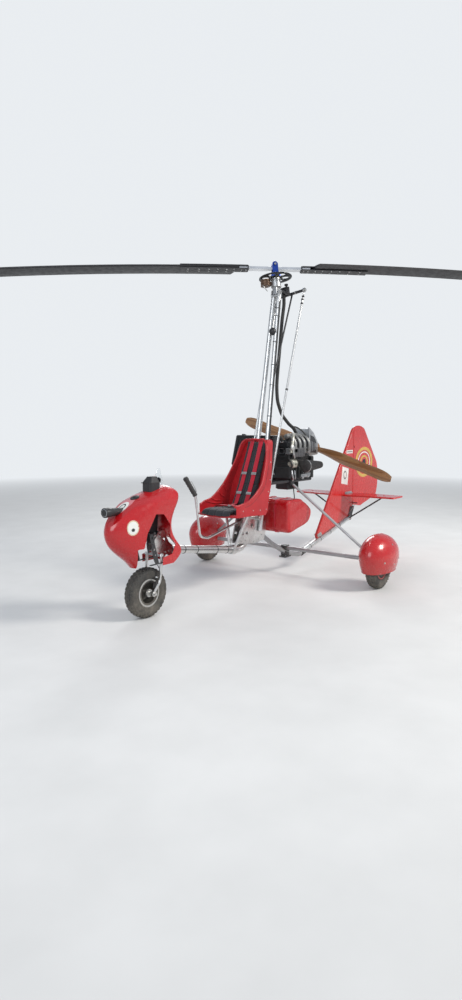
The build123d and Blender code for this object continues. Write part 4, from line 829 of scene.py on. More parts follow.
def cushion(name, node, slot, cap, seams):
    """A stuffed copy of a plain solid: remeshed, blown up as cloth, then sewn along seams."""
    def sewn(place):
        return -SEAM_DEPTH * math.exp(-((min(seams(place * 1000)) / SEAM_WIDTH) ** 2))

    scene = bpy.context.scene
    made = add(name, nodes[node].data.copy())
    work_out(made, "REMESH", mode="VOXEL", voxel_size=VOXEL)
    made.data.update()
    push_out(made.data, lambda place: -SHRINK)
    start = [vertex.co.copy() for vertex in made.data.vertices]
    filled = made.modifiers.new("fill", "CLOTH")
    filled.settings.use_pressure = True
    filled.settings.uniform_pressure_force = 4
    filled.settings.effector_weights.gravity = 0
    filled.point_cache.frame_start = 1
    filled.point_cache.frame_end = CLOTH_FRAMES
    for number in range(1, CLOTH_FRAMES + 1):
        scene.frame_set(number)
    depsgraph = bpy.context.evaluated_depsgraph_get()
    places = [vertex.co.copy() for vertex in made.evaluated_get(depsgraph).data.vertices]
    made.modifiers.clear()
    scene.frame_set(1)
    for vertex, before, after in zip(made.data.vertices, start, places):
        move = after - before
        if move.length > cap:
            move *= cap / move.length
        vertex.co = before + move
    work_out(made, "SUBSURF", levels=1, render_levels=1)
    push_out(made.data, sewn)
    made.data.materials.clear()
    made.data.materials.append(finishes[slot])
    made.data.polygons.foreach_set("use_smooth", [True] * len(made.data.polygons))
    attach(made, "airframe")
    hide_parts(node)


def seams_of(middle, first, pitch, along):
    """Distances to the seams: two lengthwise and the middle one, and the cross rows."""
    def near(place):
        row = (getattr(place, along) - first) % pitch
        return abs(abs(place.y) - middle), abs(place.y), min(row, pitch - row)

    return near


cushion("back_cushion", "seat_back_pad", "black_quilt", 0.009, seams_of(58, 716, 95, "z"))
cushion("base_cushion", "seat_base_pad", "black_quilt", 0.009, seams_of(76, 570, 88, "x"))

# Shoulder straps over the back cushion, with adjusters, ending on the pan
front = [(304, 1288), (324, 1236), (391, 1069), (457, 912), (535, 757), (560, 732)]
LEAN = Vector((-0.42, 0, 0.91))
webbing, metal = [], []
for side in SIDES:
    path = [(292, side * 46, 1304)]
    path += [(x + 9, side * (46 + 2 * i), z + 4) for i, (x, z) in enumerate(front)]
    path += [(640, side * 44, 735), (700, side * 22, 736)]
    webbing.append(tube(path, 22, 12, 6, 0.075))
    for x, z in ((424, 1000), (500, 832)):
        metal.append(box((x + 12, side * 53, z), (5, 54, 26), 2, LEAN.cross(PORT), LEAN))
        metal.append(box((x + 15, side * 53, z), (4, 44, 8), 1.5, LEAN.cross(PORT), LEAN))
metal.append(lathe((706, 0, 733), UP, [(0, 24), (7, 24), (10, 20), (11, 8)], 28))
for side in (-1, 1):
    path = [(640, side * 196, 716), (690, side * 120, 736), (708, side * 20, 741)]
    webbing.append(tube(path, 21, 12, 6, 0.075))
piece("harness_webbing", "red_webbing", webbing, replaces=["harness"], angle=0)
piece("harness_buckles", BRIGHT, metal, slot="frame_silver")

# Stick grip with finger ridges, a button and a brake lever
low, high = Vector((1132, -20, 862)), Vector((1206, -56, 1000))
along = (high - low).normalized()
length = (high - low).length
profile = [(-6, 12), (-4, 19), (4, 20)]
for count in range(5):
    profile += [(16 + count * 22, 18.2), (27 + count * 22, 20.6)]
for short, radius in ((22, 19), (14, 22), (-2, 22), (-9, 15), (-10, 4)):
    profile.append((length - short, radius))
piece("stick_grip", "black_rubber", lathe(low, along, profile, 24), slot="black_plastic")
across = along.cross(PORT).normalized()
piece(
    "stick_lever", BRIGHT,
    tube([low + along * a + across * b for a, b in ((8, 18), (30, 34), (110, 38))], 3.4, 8),
    lathe(high + along * 8, along, [(0, 8), (4, 8), (6, 5)], 16),
    slot="frame_silver",
)
stick_wire = [(1120, -16, 845), (1094, -2, 560), (1070, 6, 528), (1000, 12, 508), (800, 12, 550)]
piece(
    "stick_wire", "black_rubber",
    tube(stick_wire, 2.6, 8),
    tube([(800, 12, 551), (600, 12, 590), (470, 12, 602)], 2.6, 8),
)

# Keel, mast foot and axle hardware
SIDE_BOLTS = (  # distance out, head size, stud, places
    (44, 6, 3, ((600, 420), (540, 420), (612, 404), (350, 405), (420, 395), (300, 440),
                (470, 620), (352, 586))),
    (38, 5, 2, ((1500, 470), (1540, 470), (1640, 505), (1590, 625))),
    (41, 5, 0, ((650, 350), (702, 358))),
    (896, 6, 3, ((AXLE_X, 286),)),
    (896, 7, 3, ((AXLE_X, 246),)),
    (122, 6, 3, ((-95, 868),)),
    (47, 8, 4, ((18, 2627),)),
    (134, 6, 3, ((330, 738),)),
)
piece(
    "frame_bolts", BRIGHT,
    both(lambda side: [
        bolt((x, side * y, z), PORT * side, size, stud)
        for y, size, stud, places in SIDE_BOLTS for x, z in places
    ]),
    both(lambda side: [bolt((x, side * 30, 172), UP, 5) for x in (-190, -122)]),
    slot="frame_silver",
)


def mast_at(z, side):
    share = (z - 480) / (2582 - 480)
    return Vector((350 + (24 - 350) * share, side * (66 + (28.5 - 66) * share), z))


def tie(place, axis, radius, width, sides):
    rows = [(0, radius), (0.6, radius + 1.8), (width - 0.6, radius + 1.8), (width, radius)]
    return lathe(place, axis, rows, sides)


KEEL_RISE, BOOM_RISE = 0.1537, 0.2454


def keel_at(x, y=0):
    return (x, y, 338 + (x - 576) * KEEL_RISE)


MAST = Vector((24 - 350, 0, 2582 - 480)).normalized()
piece(
    "cable_ties", "black_plastic",
    [tie(mast_at(z, 1), MAST, 21.6, 6, 24) for z in (2476, 2405, 2170, 1960, 1780, 1500, 1100)],
    [tie(keel_at(x), (1, 0, KEEL_RISE), 32.2, 7, 28) for x in (1450, 1300, 1150, 900, 760)],
    [
        tie((x, 0, 159 + (-470 - x) * BOOM_RISE), (-1, 0, BOOM_RISE), 25.2, 6, 28)
        for x in (-600, -800, -1000, -1200)
    ],
)
long_run = (2560, 2476, 2405, 2170, 1960, 1500, 1100, 700)
short_run = (2540, 2300, 1960, 1500, 1100, 640)
piece(
    "cable_runs", "black_rubber",
    tube([mast_at(z, 1) + Vector((4, 24, 0)) for z in long_run], 3.5, 8),
    tube([mast_at(z, 1) + Vector((10, 20, 0)) for z in short_run], 2.6, 8),
    both(lambda side: tube(
        [keel_at(x, side * 35) for x in (1460, 1300, 1150, 900, 760, 640)], 3.2, 8
    )),
)
RUDDER_LINE = (
    (1748, 70, 512), (1460, 42, 500), (640, 48, 372), (250, 47, 348), (-150, 40, 214),
    (-470, 36, 190), (-1150, 44, 372), (-1506, 62, 556),
)
piece(
    "rudder_lines", BRIGHT,
    both(lambda side: tube([(x, side * y, z) for x, y, z in RUDDER_LINE], 1.6, 6, 3)),
    slot="frame_silver",
)


# Rotor head, in its own directions: forward, left and down from the teeter bolt
SPIN = Vector((-math.sin(math.radians(3)), -math.sin(math.radians(8)), 0))
SPIN.z = math.sqrt(1 - SPIN.x**2 - SPIN.y**2)
TEETER = Vector((18, 0, 2627)) + SPIN * 250
AHEAD = (FORWARD - SPIN * SPIN.x).normalized()
LEFT = SPIN.cross(AHEAD)
SPAN = around(math.radians(134), FORWARD, PORT)
TEETER_AXIS = SPIN.cross(SPAN).normalized()
BEAM_UP = SPAN.cross(TEETER_AXIS).normalized()
NEUTRAL = TEETER_AXIS.cross(SPIN).normalized()


def on_head(forward, left, drop):
    return TEETER + AHEAD * forward + LEFT * left - SPIN * drop


def on_beam(span, chord, lift):
    sag = (abs(span) - 330) ** 2 / 64000 if abs(span) > 330 else 0
    return TEETER + SPAN * span + TEETER_AXIS * chord + BEAM_UP * (lift - 34 - sag)


def ring_bolts(centre, x_dir, y_dir, radius, turns, axis, size, stud=0):
    return [bolt(centre + around(t, x_dir, y_dir) * radius, axis, size, stud) for t in turns]


piece(
    "housing_bolts", BRIGHT,
    lathe(on_head(0, 0, 204), SPIN, [(0, 44), (1, 47), (9, 47), (10, 44.4)], 36),
    lathe(on_head(0, 0, 134), SPIN, [(-2, 44.4), (0, 48), (7, 48), (8, 44)], 36),
    ring_bolts(on_head(0, 0, 204), AHEAD, LEFT, 38, spin(8, math.radians(10)), -SPIN, 3.6),
    both(lambda side: [
        bolt(on_head(forward, side * 24, drop), LEFT * side, 4)
        for drop in (216, 240) for forward in (20, -20)
    ]),
    slot="drive_silver",
)
drum = on_head(62, -70, 190)
drum_profile = [
    (0, 40), (3, 46), (14, 46), (16, 42), (20, 42), (22, 46), (38, 46), (40, 42), (44, 42),
    (46, 45), (58, 45), (62, 38), (64, 12),
]
piece(
    "rotor_brake_drum", BROWN,
    lathe(drum, SPIN, drum_profile, 40),
    box(on_head(30, -36, 168), (30, 22, 34), 3, AHEAD, SPIN),
    slot="black_metal",
)
piece(
    "brake_fittings", BRIGHT,
    ring_bolts(drum, AHEAD, LEFT, 30, spin(6), -SPIN, 4),
    tube([on_head(104, -76, 180), on_head(110, -60, 205), on_head(70, -52, 240)], 4, 8),
    slot="drive_silver",
)
bar_end = [(-3, 13.5), (2, 15), (5, 13), (6, 8)]
bar_band = [(-6, 14.5), (-5, 15.4), (5, 15.4), (6, 14.5)]
piece(
    "torque_bar_fittings", BRIGHT,
    both(lambda side: lathe(on_head(-232, side * 165, 218), LEFT * side, bar_end, 20)),
    bolt(on_head(-232, 0, 230), -SPIN, 6),
    [lathe(on_head(-232, left, 218), LEFT, bar_band, 20) for left in (-60, 60)],
    slot="frame_silver",
)
boots = []
for side in SIDES:
    top = on_head(-232, side * 153, 218)
    low = Vector((330, side * 122, 738))
    along = (top - low).normalized()
    for end, start, size, width in (
        (low, 70, 11.5, 16), (low, 96, 12, 16), (low, 1040, 11.5, 16),
        (top, -100, 12.5, 14), (top, -70, 11.5, 14), (top, -140, 11.5, 14),
    ):
        rows = [(0, size - 1), (2, size + 1), (width - 2, size + 1), (width, size - 1)]
        boots.append(lathe(end + along * start, along, rows, 16))
piece("control_rod_ferrules", "black_plastic", boots)
BEACON = Vector((96, 14, 2269))
beacon = [(-4, 10), (0, 16), (8, 27), (22, 33), (38, 33), (52, 27), (60, 16), (64, 9)]
piece(
    "mast_beacon", "black_plastic",
    lathe(BEACON - UP * 30, UP, beacon, 28),
    box(BEACON - FORWARD * 24, (34, 26, 24), 4),
)

tower = []
for side in SIDES:
    out = TEETER_AXIS * side
    tower.append(bolt(TEETER + out * 45, out, 8, 5))
    for across in (-20, 20):
        tower.append(bolt(TEETER - SPIN * 92 + NEUTRAL * across + out * 37, out, 4))
for across in (-34, 34):
    for shift in (-28, 28):
        spot = TEETER - SPIN * 94 + NEUTRAL * across + TEETER_AXIS * shift
        tower.append(bolt(spot, SPIN, 4.5))
for side in SIDES:
    for shift in (-15, 0, 15):
        spot = TEETER + TEETER_AXIS * side * 31.5 + NEUTRAL * shift
        spot += SPIN * (25 - abs(shift) * 0.5)
        tower.append(lathe(spot, SPIN, [(-2, 4), (3, 4), (4, 2.6)], 12))
piece("tower_bolts", BRIGHT, tower, body="rotor_head", slot="hub_silver")
gear_turns = spin(6, math.radians(30))
piece(
    "gear_bolts", BRIGHT,
    lathe(TEETER - SPIN * 112, SPIN, [(-0.4, 40), (2, 40), (3, 36)], 40),
    ring_bolts(TEETER - SPIN * 120.2, NEUTRAL, TEETER_AXIS, 64, gear_turns, -SPIN, 4.5),
    body="rotor_head", slot="gear_dark",
)

STRAP_BOLTS = (
    (266, 20), (266, -20), (306, 20), (306, -20), (372, 24), (372, -26), (440, 24), (440, -30),
    (520, 24), (520, -32), (600, 22), (600, -32), (690, 20), (690, -32), (790, 16), (790, -30),
)
STRAP_ROWS = (
    (256, 44), (330, 44), (420, 44), (520, 44), (620, 44), (700, 44), (780, 34), (856, 18)
)
piece(
    "strap_clamps", "black_metal",
    both(lambda sign: box(on_beam(sign * 246, 0, 0), (12, 74, 40), 3, SPAN, BEAM_UP)),
    body="rotor_blades",
)
piece(
    "strap_bolts", BRIGHT,
    both(lambda sign: [
        [bolt(on_beam(sign * span, sign * chord, 18), BEAM_UP, 6.5),
         bolt(on_beam(sign * span, sign * chord, -18), -BEAM_UP, 6.5, 3)]
        for span, chord in STRAP_BOLTS
    ]),
    body="rotor_blades", slot="hub_silver",
)
# A light grey skin on the straps' top faces: a painted highlight of the sky on the dark metal
piece(
    "strap_top_highlight", STRAP_HIGHLIGHT,
    both(lambda sign: skin(
        [[on_beam(sign * span, edge, 18.6) for edge in (-half, half)] for span, half in STRAP_ROWS],
        closed=False, caps=False,
    )),
    body="rotor_blades", slot="black_metal",
)

# Propeller: hub bolts and cap
PROP = Vector((-655, 0, 1198))
hub_turns = spin(6, math.radians(12))
piece(
    "propeller_bolts", BRIGHT,
    ring_bolts(PROP - FORWARD * 31, PORT, UP, 45, hub_turns, -FORWARD, 6, 4),
    ring_bolts(PROP + FORWARD * 35, PORT, UP, 45, hub_turns, FORWARD, 5),
    body="propeller", slot="drive_silver",
)
cap = lathe(PROP - FORWARD * 31, -FORWARD, [(0, 30), (4, 30), (8, 24), (10, 10)], 32)
piece("propeller_cap", "drive_silver", cap, body="propeller")


# Engine: an in-line four on its rails, shown in place of the plain block
piece(
    "engine_crankcase", "engine_dark",
    box((-240, 0, 975), (370, 236, 120), 10),
    box((-240, 0, 1085), (350, 200, 120), 8),
    [both(lambda side: box((x, side * 118, 975), (8, 22, 104), 2)) for x in range(-400, -81, 53)],
    [box((-240, 0, z), (356, 214, 7), 2) for z in range(1048, 1125, 19)],
    box((-180, 0, 868), (186, 148, 106), 14),
    box((-240, 0, 916), (350, 210, 14), 4),
    [both(lambda side: box((x, side * 76, 862), (6, 10, 84), 2)) for x in range(-255, -107, 21)],
    box((-425, 0, 1020), (36, 276, 210), 8),
    replaces=["engine_block"],
)
piece(
    "engine_cylinder_head", "drive_silver",
    box((-240, 0, 1178), (340, 206, 62), 8),
    [box((-240, 0, z), (346, 214, 4), 1) for z in range(1158, 1203, 11)],
)
oil_cap = [(0, 20), (8, 20), (9, 26), (22, 26), (25, 20), (26, 6)]
piece(
    "engine_rocker_cover", "black_metal",
    box((-240, 0, 1244), (322, 150, 66), 14),
    [box((-240, y, 1280), (280, 5, 8), 2) for y in range(-56, 57, 14)],
    lathe((-150, 34, 1276), UP, oil_cap, 24),
    lathe((-340, -38, 1276), UP, [(0, 13), (14, 13), (18, 10), (22, 10)], 18),
)
plain_bolts = [
    both(lambda side: [
        bolt((x, side * 70, 1260), UP, 5),
        bolt((x, side * 104, 1180), PORT * side, 5),
        bolt((x, side * 101, 920), -UP, 4.5),
        bolt((x + 12, side * 119, 1018), PORT * side, 4.5),
    ])
    for x in (-390, -330, -270, -210, -150, -95)
]
for turn in spin(8):
    place = (-443, 118 * math.cos(turn), 1020 + 88 * math.sin(turn))
    plain_bolts.append(bolt(place, -FORWARD, 5))
piece("engine_bolts", BRIGHT, plain_bolts, slot="drive_silver")

# Intake runners and plenum on the port side, silver as in the photo
intake = []
for x in (-360, -280, -200, -120):
    runner = ((0, 96, 1180), (4, 128, 1200), (10, 134, 1258), (14, 104, 1306), (16, 66, 1316))
    path = [(x + shift, y, z) for shift, y, z in runner]
    intake += [tube(path, [17, 14], 14, 6, 1.0, FORWARD), box((x, 106, 1180), (52, 10, 42), 4)]
piece(
    "intake_runners", RUNNER, intake,
    tube([(-400, 58, 1312), (-300, 62, 1322), (-180, 62, 1326), (-80, 56, 1318)], 22, 18, 6),
    lathe((-80, 56, 1318), FORWARD, [(-2, 24), (6, 24), (8, 20), (18, 20), (19, 14)], 24),
    slot="drive_silver",
)
pale = [(-62, 120, 1170), (-70, 128, 1240), (-98, 118, 1306), (-150, 92, 1338), (-210, 60, 1338)]
piece(
    "coolant_pipe", CREAM,
    tube(pale, 13, 14, 6),
    lathe((-62, 120, 1166), UP, [(0, 15), (8, 15), (9, 13)], 18),
    slot="drive_silver",
)
piece(
    "ignition_box", GREY_BOX,
    box((-172, 132, 1164), (186, 30, 84), 6),
    box((-110, 134, 1186), (54, 26, 40), 5),
    [box((x, 148, 1164), (6, 6, 70), 2) for x in (-230, -190, -150)],
    lathe((-208, 144, 1138), PORT, [(0, 17), (5, 17), (6, 11)], 20),
    slot="engine_dark",
)
piece(
    "thermostat_housing", BRIGHT,
    lathe((-64, 138, 1214), (0.2, 1, 0.1), [(-6, 26), (4, 26), (8, 20), (9, 8)], 26),
    tube([(-64, 140, 1190), (-76, 142, 1150), (-96, 140, 1118)], 8, 10),
    slot="drive_silver",
)
ALTERNATOR = Vector((-98, 104, 1064))
alternator_profile = [
    (0, 26), (5, 42), (12, 46), (30, 46), (32, 43), (50, 43), (52, 46), (70, 46), (78, 40),
    (84, 20), (92, 18),
]
piece(
    "alternator", CREAM,
    lathe(ALTERNATOR - FORWARD * 52, FORWARD, alternator_profile, 36),
    [
        box(ALTERNATOR + around(t, PORT, UP) * 38 + FORWARD * 26, (4, 3, 10), 1)
        for t in spin(14)
    ],
    box((-98, 100, 1012), (40, 16, 36), 4),
    slot="drive_silver",
)
piece(
    "lower_fittings", "drive_silver",
    tube([(-64, 130, 1000), (-60, 138, 960), (-72, 136, 925), (-92, 120, 905)], 9, 10),
    tube([(-108, 134, 1000), (-104, 140, 955), (-112, 134, 918)], 6, 10),
    box((-300, 124, 945), (150, 26, 34), 5),
    lathe((-250, 132, 930), PORT, [(-4, 17), (6, 17), (8, 12)], 20),
    lathe((-340, 132, 936), PORT, [(-4, 14), (8, 14), (10, 9)], 20),
    lathe((-392, 108, 952), FORWARD, [(0, 26), (6, 30), (96, 30), (100, 26), (112, 20)], 28),
)
BELT_X = -74
pulleys = []
for y, z, radius in ((0, 962, 60), (10, 1182, 46), (-64, 1070, 26)):
    rows = [
        (-8, 22), (-7, radius), (-4, radius), (-2, radius - 5), (2, radius - 5), (4, radius),
        (7, radius), (7.5, radius - 8), (4, radius - 12), (4, 20), (9, 18), (10, 6),
    ]
    pulleys.append(lathe((BELT_X, y, z), FORWARD, rows, 40))
piece("engine_pulleys", "gear_dark", pulleys)
belt = (
    (56, 940), (12, 904), (-44, 922), (-60, 966), (-90, 1066), (-72, 1094), (-34, 1176),
    (0, 1226), (44, 1214), (58, 1180), (62, 1080), (58, 990), (56, 940),
)
belt_path = [(BELT_X, y, z) for y, z in belt]
piece("engine_belt", "black_rubber", tube(belt_path, 5, 8, 5, 0.6, FORWARD), angle=0)
leads = []
for count, x in enumerate((-370, -290, -210, -130)):
    end = -12 * count
    path = [(x, -40, 1272), (x + 8, -46, 1306), (x + 30, -74, 1318)]
    path += [(end - 150, -120, 1250), (end - 140, -132, 1180)]
    leads += [tube(path, 4.2, 8), lathe((x, -40, 1268), UP, [(0, 9), (20, 8), (24, 5)], 14)]
for radius, sides, path in (
    (5, 8, [(-420, -100, 1100), (-300, -140, 1120), (-180, -140, 1085), (-80, -110, 1010),
            (-70, -60, 930)]),
    (5, 8, [(-120, 140, 1110), (-170, 146, 1092), (-240, 145, 1090), (-330, 142, 1060),
            (-400, 130, 1010)]),
    (4, 8, [(-300, 140, 1120), (-320, 147, 1060), (-300, 146, 1000), (-260, 140, 962)]),
    (7, 10, [(-60, 90, 1120), (-58, 122, 1080), (-60, 130, 1040), (-66, 110, 985)]),
):
    leads.append(tube(path, radius, sides))
piece("engine_leads", "black_rubber", leads)
piece(
    "coolant_hoses", "black_rubber",
    tube([(-66, 20, 1260), (-40, 22, 1300), (20, 20, 1316), (84, 20, 1310)], 15, 14),
    tube([(-70, -60, 960), (-20, -110, 960), (60, -120, 1010), (150, -120, 1070)], 15, 14),
    tube([(-180, 60, 1410), (-250, 60, 1402), (-330, 66, 1370), (-366, 96, 1320)], 7, 10),
)
clip_places = (
    ((-60, 20, 1268), (0.6, 0, 0.8)),
    ((70, 20, 1312), (1, 0, -0.1)),
    ((-60, -70, 960), (0.7, -0.7, 0)),
    ((138, -120, 1062), (0.8, 0, 0.55)),
)
clip = [(0, 15.4), (0.5, 17), (8, 17), (8.5, 15.4)]
clips = [lathe(place, axis, clip, 20) for place, axis in clip_places]
piece("hose_clips", BRIGHT, clips, slot="frame_silver")

# Reduction drive: bright cover edge, ribs and bolts
rim = [(-446, 1396), (-530, 1347), (-610, 1250), (-610, 1136)]
drive_bolts = (
    (-462, 1375), (-500, 1352), (-545, 1318), (-592, 1250), (-596, 1150), (-520, 1132), (-462, 1126)
)
piece(
    "drive_cover_edge", "drive_silver",
    both(lambda side: [
        tube([(x, side * 72, z) for x, z in rim], 9, 10, 1, 0.8, PORT),
        [box((-478 - k * 30, side * 79, 1215), (7, 8, 110 - k * 14), 2) for k in range(4)],
        [bolt((x, side * 78, z), PORT * side, 5.5) for x, z in drive_bolts],
    ]),
    lathe((-612, 0, 1198), -FORWARD, [(-2, 40), (3, 40), (5, 34), (6, 22)], 36),
)
guard = [(-60, 112), (10, 92), (52, 40), (52, -66), (-60, -60)]
piece("drive_belt_guard", "black_metal", prism(guard, (-532, 77.5, 1215), -FORWARD, UP, 6, 2))

# Air filter: pleats, bands and end cap. Exhaust: flanges, bands and outlet
FILTER = Vector((0, 236, 1046))
piece(
    "air_filter_pleats", "black_rubber",
    [
        tube([FILTER - FORWARD * 150 + out * 54.5, FILTER - FORWARD * 388 + out * 31.5],
             2.8, 6, 1)
        for out in (around(turn, PORT, UP) for turn in spin(26))
    ],
    lathe(FILTER - FORWARD * 128, -FORWARD, [(-3, 52), (0, 57), (12, 57), (14, 55)], 40),
    lathe(FILTER - FORWARD * 388, -FORWARD, [(0, 33), (10, 32), (14, 28), (15, 10)], 40),
)
filter_band = [(0, 57.2), (0.5, 58.4), (7, 58.4), (7.5, 57.2)]
band = lathe(FILTER - FORWARD * 134, -FORWARD, filter_band, 40)
piece("air_filter_band", BRIGHT, band, slot="frame_silver")
flange = [(0, 30), (7, 30), (8, 24), (20, 24)]
pipe_band = [(-6, 54.2), (-5, 56), (5, 56), (6, 54.2)]
piece(
    "exhaust_fittings", "exhaust_steel",
    [
        [lathe((x, -152, 1010), -PORT, flange, 24),
         ring_bolts(Vector((x, -159, 1010)), FORWARD, UP, 25, (0.6, 2.2, 3.8, 5.4), -PORT, 4)]
        for x in (-160, -320)
    ],
    [lathe((x, -230, 1010), -FORWARD, pipe_band, 40) for x in (-100, -370)],
    lathe((-398, -230, 1010), -FORWARD, [(0, 22), (18, 22), (18, 19), (2, 19)], 28),
)

# Radiator: frame, fins, tubes and filler
BACK = Vector((137 - 222, 0, 1330 - 1040)).normalized()
OUT = -BACK.cross(PORT)
RADIATOR = Vector((179.5, -128, 1185))
fins = []
for count in range(30):
    place = RADIATOR + BACK * (count * 8.8 - 128) + OUT * 26
    fins.append(box(place, (1.6, 408, 5), 0.4, BACK, OUT))
for count in range(24):
    place = RADIATOR + PORT * (count * 17 - 195) + OUT * 25
    fins.append(box(place, (262, 2.2, 4), 0.5, BACK, OUT))
piece("radiator_fins", CORE, fins, slot="black_metal")
neck = [(-4, 18), (6, 18), (7, 23), (14, 23), (17, 16)]
piece(
    "radiator_tanks", "black_metal",
    both(lambda side: box(RADIATOR + PORT * side * 213, (284, 20, 56), 6, BACK, OUT)),
    both(lambda side: box(RADIATOR + BACK * side * 138, (14, 430, 56), 4, BACK, OUT)),
    lathe(RADIATOR + BACK * 143 - PORT * 150, BACK, neck, 24),
)

# Tank: moulded seam, filler cap, fuel lines and straps
seam = [
    (110, 473), (-14, 497), (-118, 534), (-164, 620), (-120, 690), (10, 756), (120, 757), (200, 757)
]
outline = [
    (196, 470), (90, 494), (-20, 516), (-104, 548), (-140, 620), (-100, 672), (6, 730),
    (120, 732), (200, 728), (196, 470),
]
piece(
    "tank_seams", "red_shell",
    tube([(x, 0, z + (1 if z > 600 else -1)) for x, z in seam], 3.2, 8, 4),
    both(lambda side: tube([(x, side * 288.6, z) for x, z in outline], 3.4, 8, 4, 0.7, PORT)),
    angle=0,
)
CAP = Vector((120, -190, 755))
cap_profile = [(0, 34), (4, 34), (6, 30), (6, 38), (22, 38), (26, 33), (27, 10)]
piece(
    "tank_filler", "black_plastic",
    lathe(CAP, UP, cap_profile, 32),
    [box(CAP + around(turn, FORWARD, PORT) * 38 + UP * 14, (4, 4, 14), 1) for turn in spin(16)],
)
fuel_line = [
    (60, 120, 480), (40, 130, 440), (0, 134, 452), (-60, 128, 500), (-150, 110, 640),
    (-160, 90, 800), (-150, 80, 880),
]
piece(
    "fuel_lines", "black_rubber",
    tube(fuel_line, 5, 8),
    tube([(100, -120, 757), (80, -124, 800), (20, -118, 850), (-60, -110, 900)], 4, 8),
)
tank_loop = (
    (236, 500), (238, 600), (238, 700), (226, 744), (190, 758), (100, 758), (8, 757), (-60, 724),
    (-140, 668), (-170, 620), (-150, 556), (-110, 524), (-40, 503), (60, 484), (200, 458),
    (236, 480),
)
loops = [tube([(x, y, z) for x, z in tank_loop], 15, 10, 3, 0.1) for y in (-150, 150)]
piece("tank_straps", "red_webbing", loops, angle=0)


# Tail: plain marks, rivets, horn and tab
def mirrored_marks(name, finish, node, place, *marks, body="airframe", slot=None):
    """Flat marks on both faces of a tail surface: place, outline, then how each is laid."""
    piece(
        name, finish,
        both(lambda side: [
            sticker(node, at or place, -FORWARD * side, UP, outline, *lay)
            for at, outline, *lay in marks
        ]),
        body=body, slot=slot, angle=0,
    )


UPPER_MARK, LOWER_MARK, ROUNDEL = (-1408, 0, 1131), (-1310, 0, 880), (-1762, 0, 1004)
upper = fine_outline([(-72, -18), (72, -18), (72, 18), (-72, 18)], 24)
lower = fine_outline([(-84, -88), (60, -112), (84, 66), (-60, 96)], 24)
stripe = fine_outline([(-60, -4), (60, -4), (60, 4), (-60, 4)], 24)
mirrored_marks(
    "fin_marks", WHITE, "fin", LOWER_MARK, (UPPER_MARK, upper), (None, lower), slot="red_tail"
)
mirrored_marks(
    "fin_mark_lines", "black_plastic", "fin", LOWER_MARK,
    (None, oval(34, 46), 1.0, 0.72, 1), (UPPER_MARK, stripe, 1.0),
)
for name, finish, slot, *rings in (
    ("rudder_rings", GOLD, "red_tail",
     (None, oval(212, 172, 60), 0.5, 0.8, 2), (None, oval(96, 78, 48), 0.5, 0.72, 2)),
    ("rudder_inner_ring", WHITE, "red_tail", (None, oval(150, 120, 48), 0.5, 0.9, 1)),
    ("rudder_centre", "black_plastic", None, (None, oval(40, 34), 0.5)),
):
    mirrored_marks(name, finish, "rudder", ROUNDEL, *rings, body="rudder", slot=slot)

RIVET = [(-0.5, 5), (0.6, 5), (2, 2.5)]


def rivets(node, places, side):
    """Rivets on one face of a tail surface, at each (x, z) that it covers."""
    rays = [((x, side * 100, z), -PORT * side) for x, z in places]
    return [lathe(*found, RIVET, 10) for found in touches(node, rays)]


hinge_row = [(-1470, 600 + k * 62) for k in range(13)]
hinge_row += [(-765 - k * 61, 290 + k * 87) for k in range(1, 12)]
fin_bolts = ((-1412, 392), (-1446, 392), (-1412, 430), (-1440, 480), (-1470, 508))
piece(
    "fin_rivets", "red_tail",
    both(lambda side: [
        rivets("fin", hinge_row, side),
        [bolt((x, side * 25, z), PORT * side, 4) for x, z in fin_bolts],
    ]),
)
foot_plate = [(-50, -16), (34, -24), (44, 10), (-30, 26)]
piece(
    "fin_foot_plates", BRIGHT,
    both(lambda side: [
        prism(foot_plate, (-775, side * 17.5, 292), FORWARD, UP, 3, 1),
        [bolt((x, side * 19, z), PORT * side, 4.5) for x, z in ((-760, 290), (-795, 296))],
    ]),
    slot="frame_silver",
)
rudder_row = [(-1552, 600 + k * 66) for k in range(11)]
rudder_rivets = both(lambda side: rivets("rudder", rudder_row, side))
piece("rudder_rivets", "red_tail", rudder_rivets, body="rudder")
piece(
    "rudder_horn", "black_metal",
    box((-1512, 0, 556), (34, 128, 6), 2),
    both(lambda side: bolt((-1512, side * 56, 559), UP, 4)),
    body="rudder",
)
tab = box((-2104, 0, 700), (34, 3, 130), 1)
piece("rudder_tab", WHITE, tab, body="rudder", slot="red_tail")
piece(
    "stabiliser_rivets", "red_tail",
    both(lambda side: [
        [
            lathe((x, side * (90 + k * 58), 671), UP, RIVET, 10)
            for x in (-1300, -1500) for k in range(9)
        ],
        [bolt((x, side * 26, 671), UP, 4.5) for x in (-1330, -1400, -1450)],
        bolt((-1390, side * 440, 671), UP, 5),
    ]),
)
piece(
    "stabiliser_angles", "drive_silver",
    both(lambda side: [
        box((-1385, side * 19, 682), (150, 6, 22), 1.5),
        box((-1385, side * 28, 673), (150, 22, 5), 1.5),
    ]),
    slot="frame_silver",
)

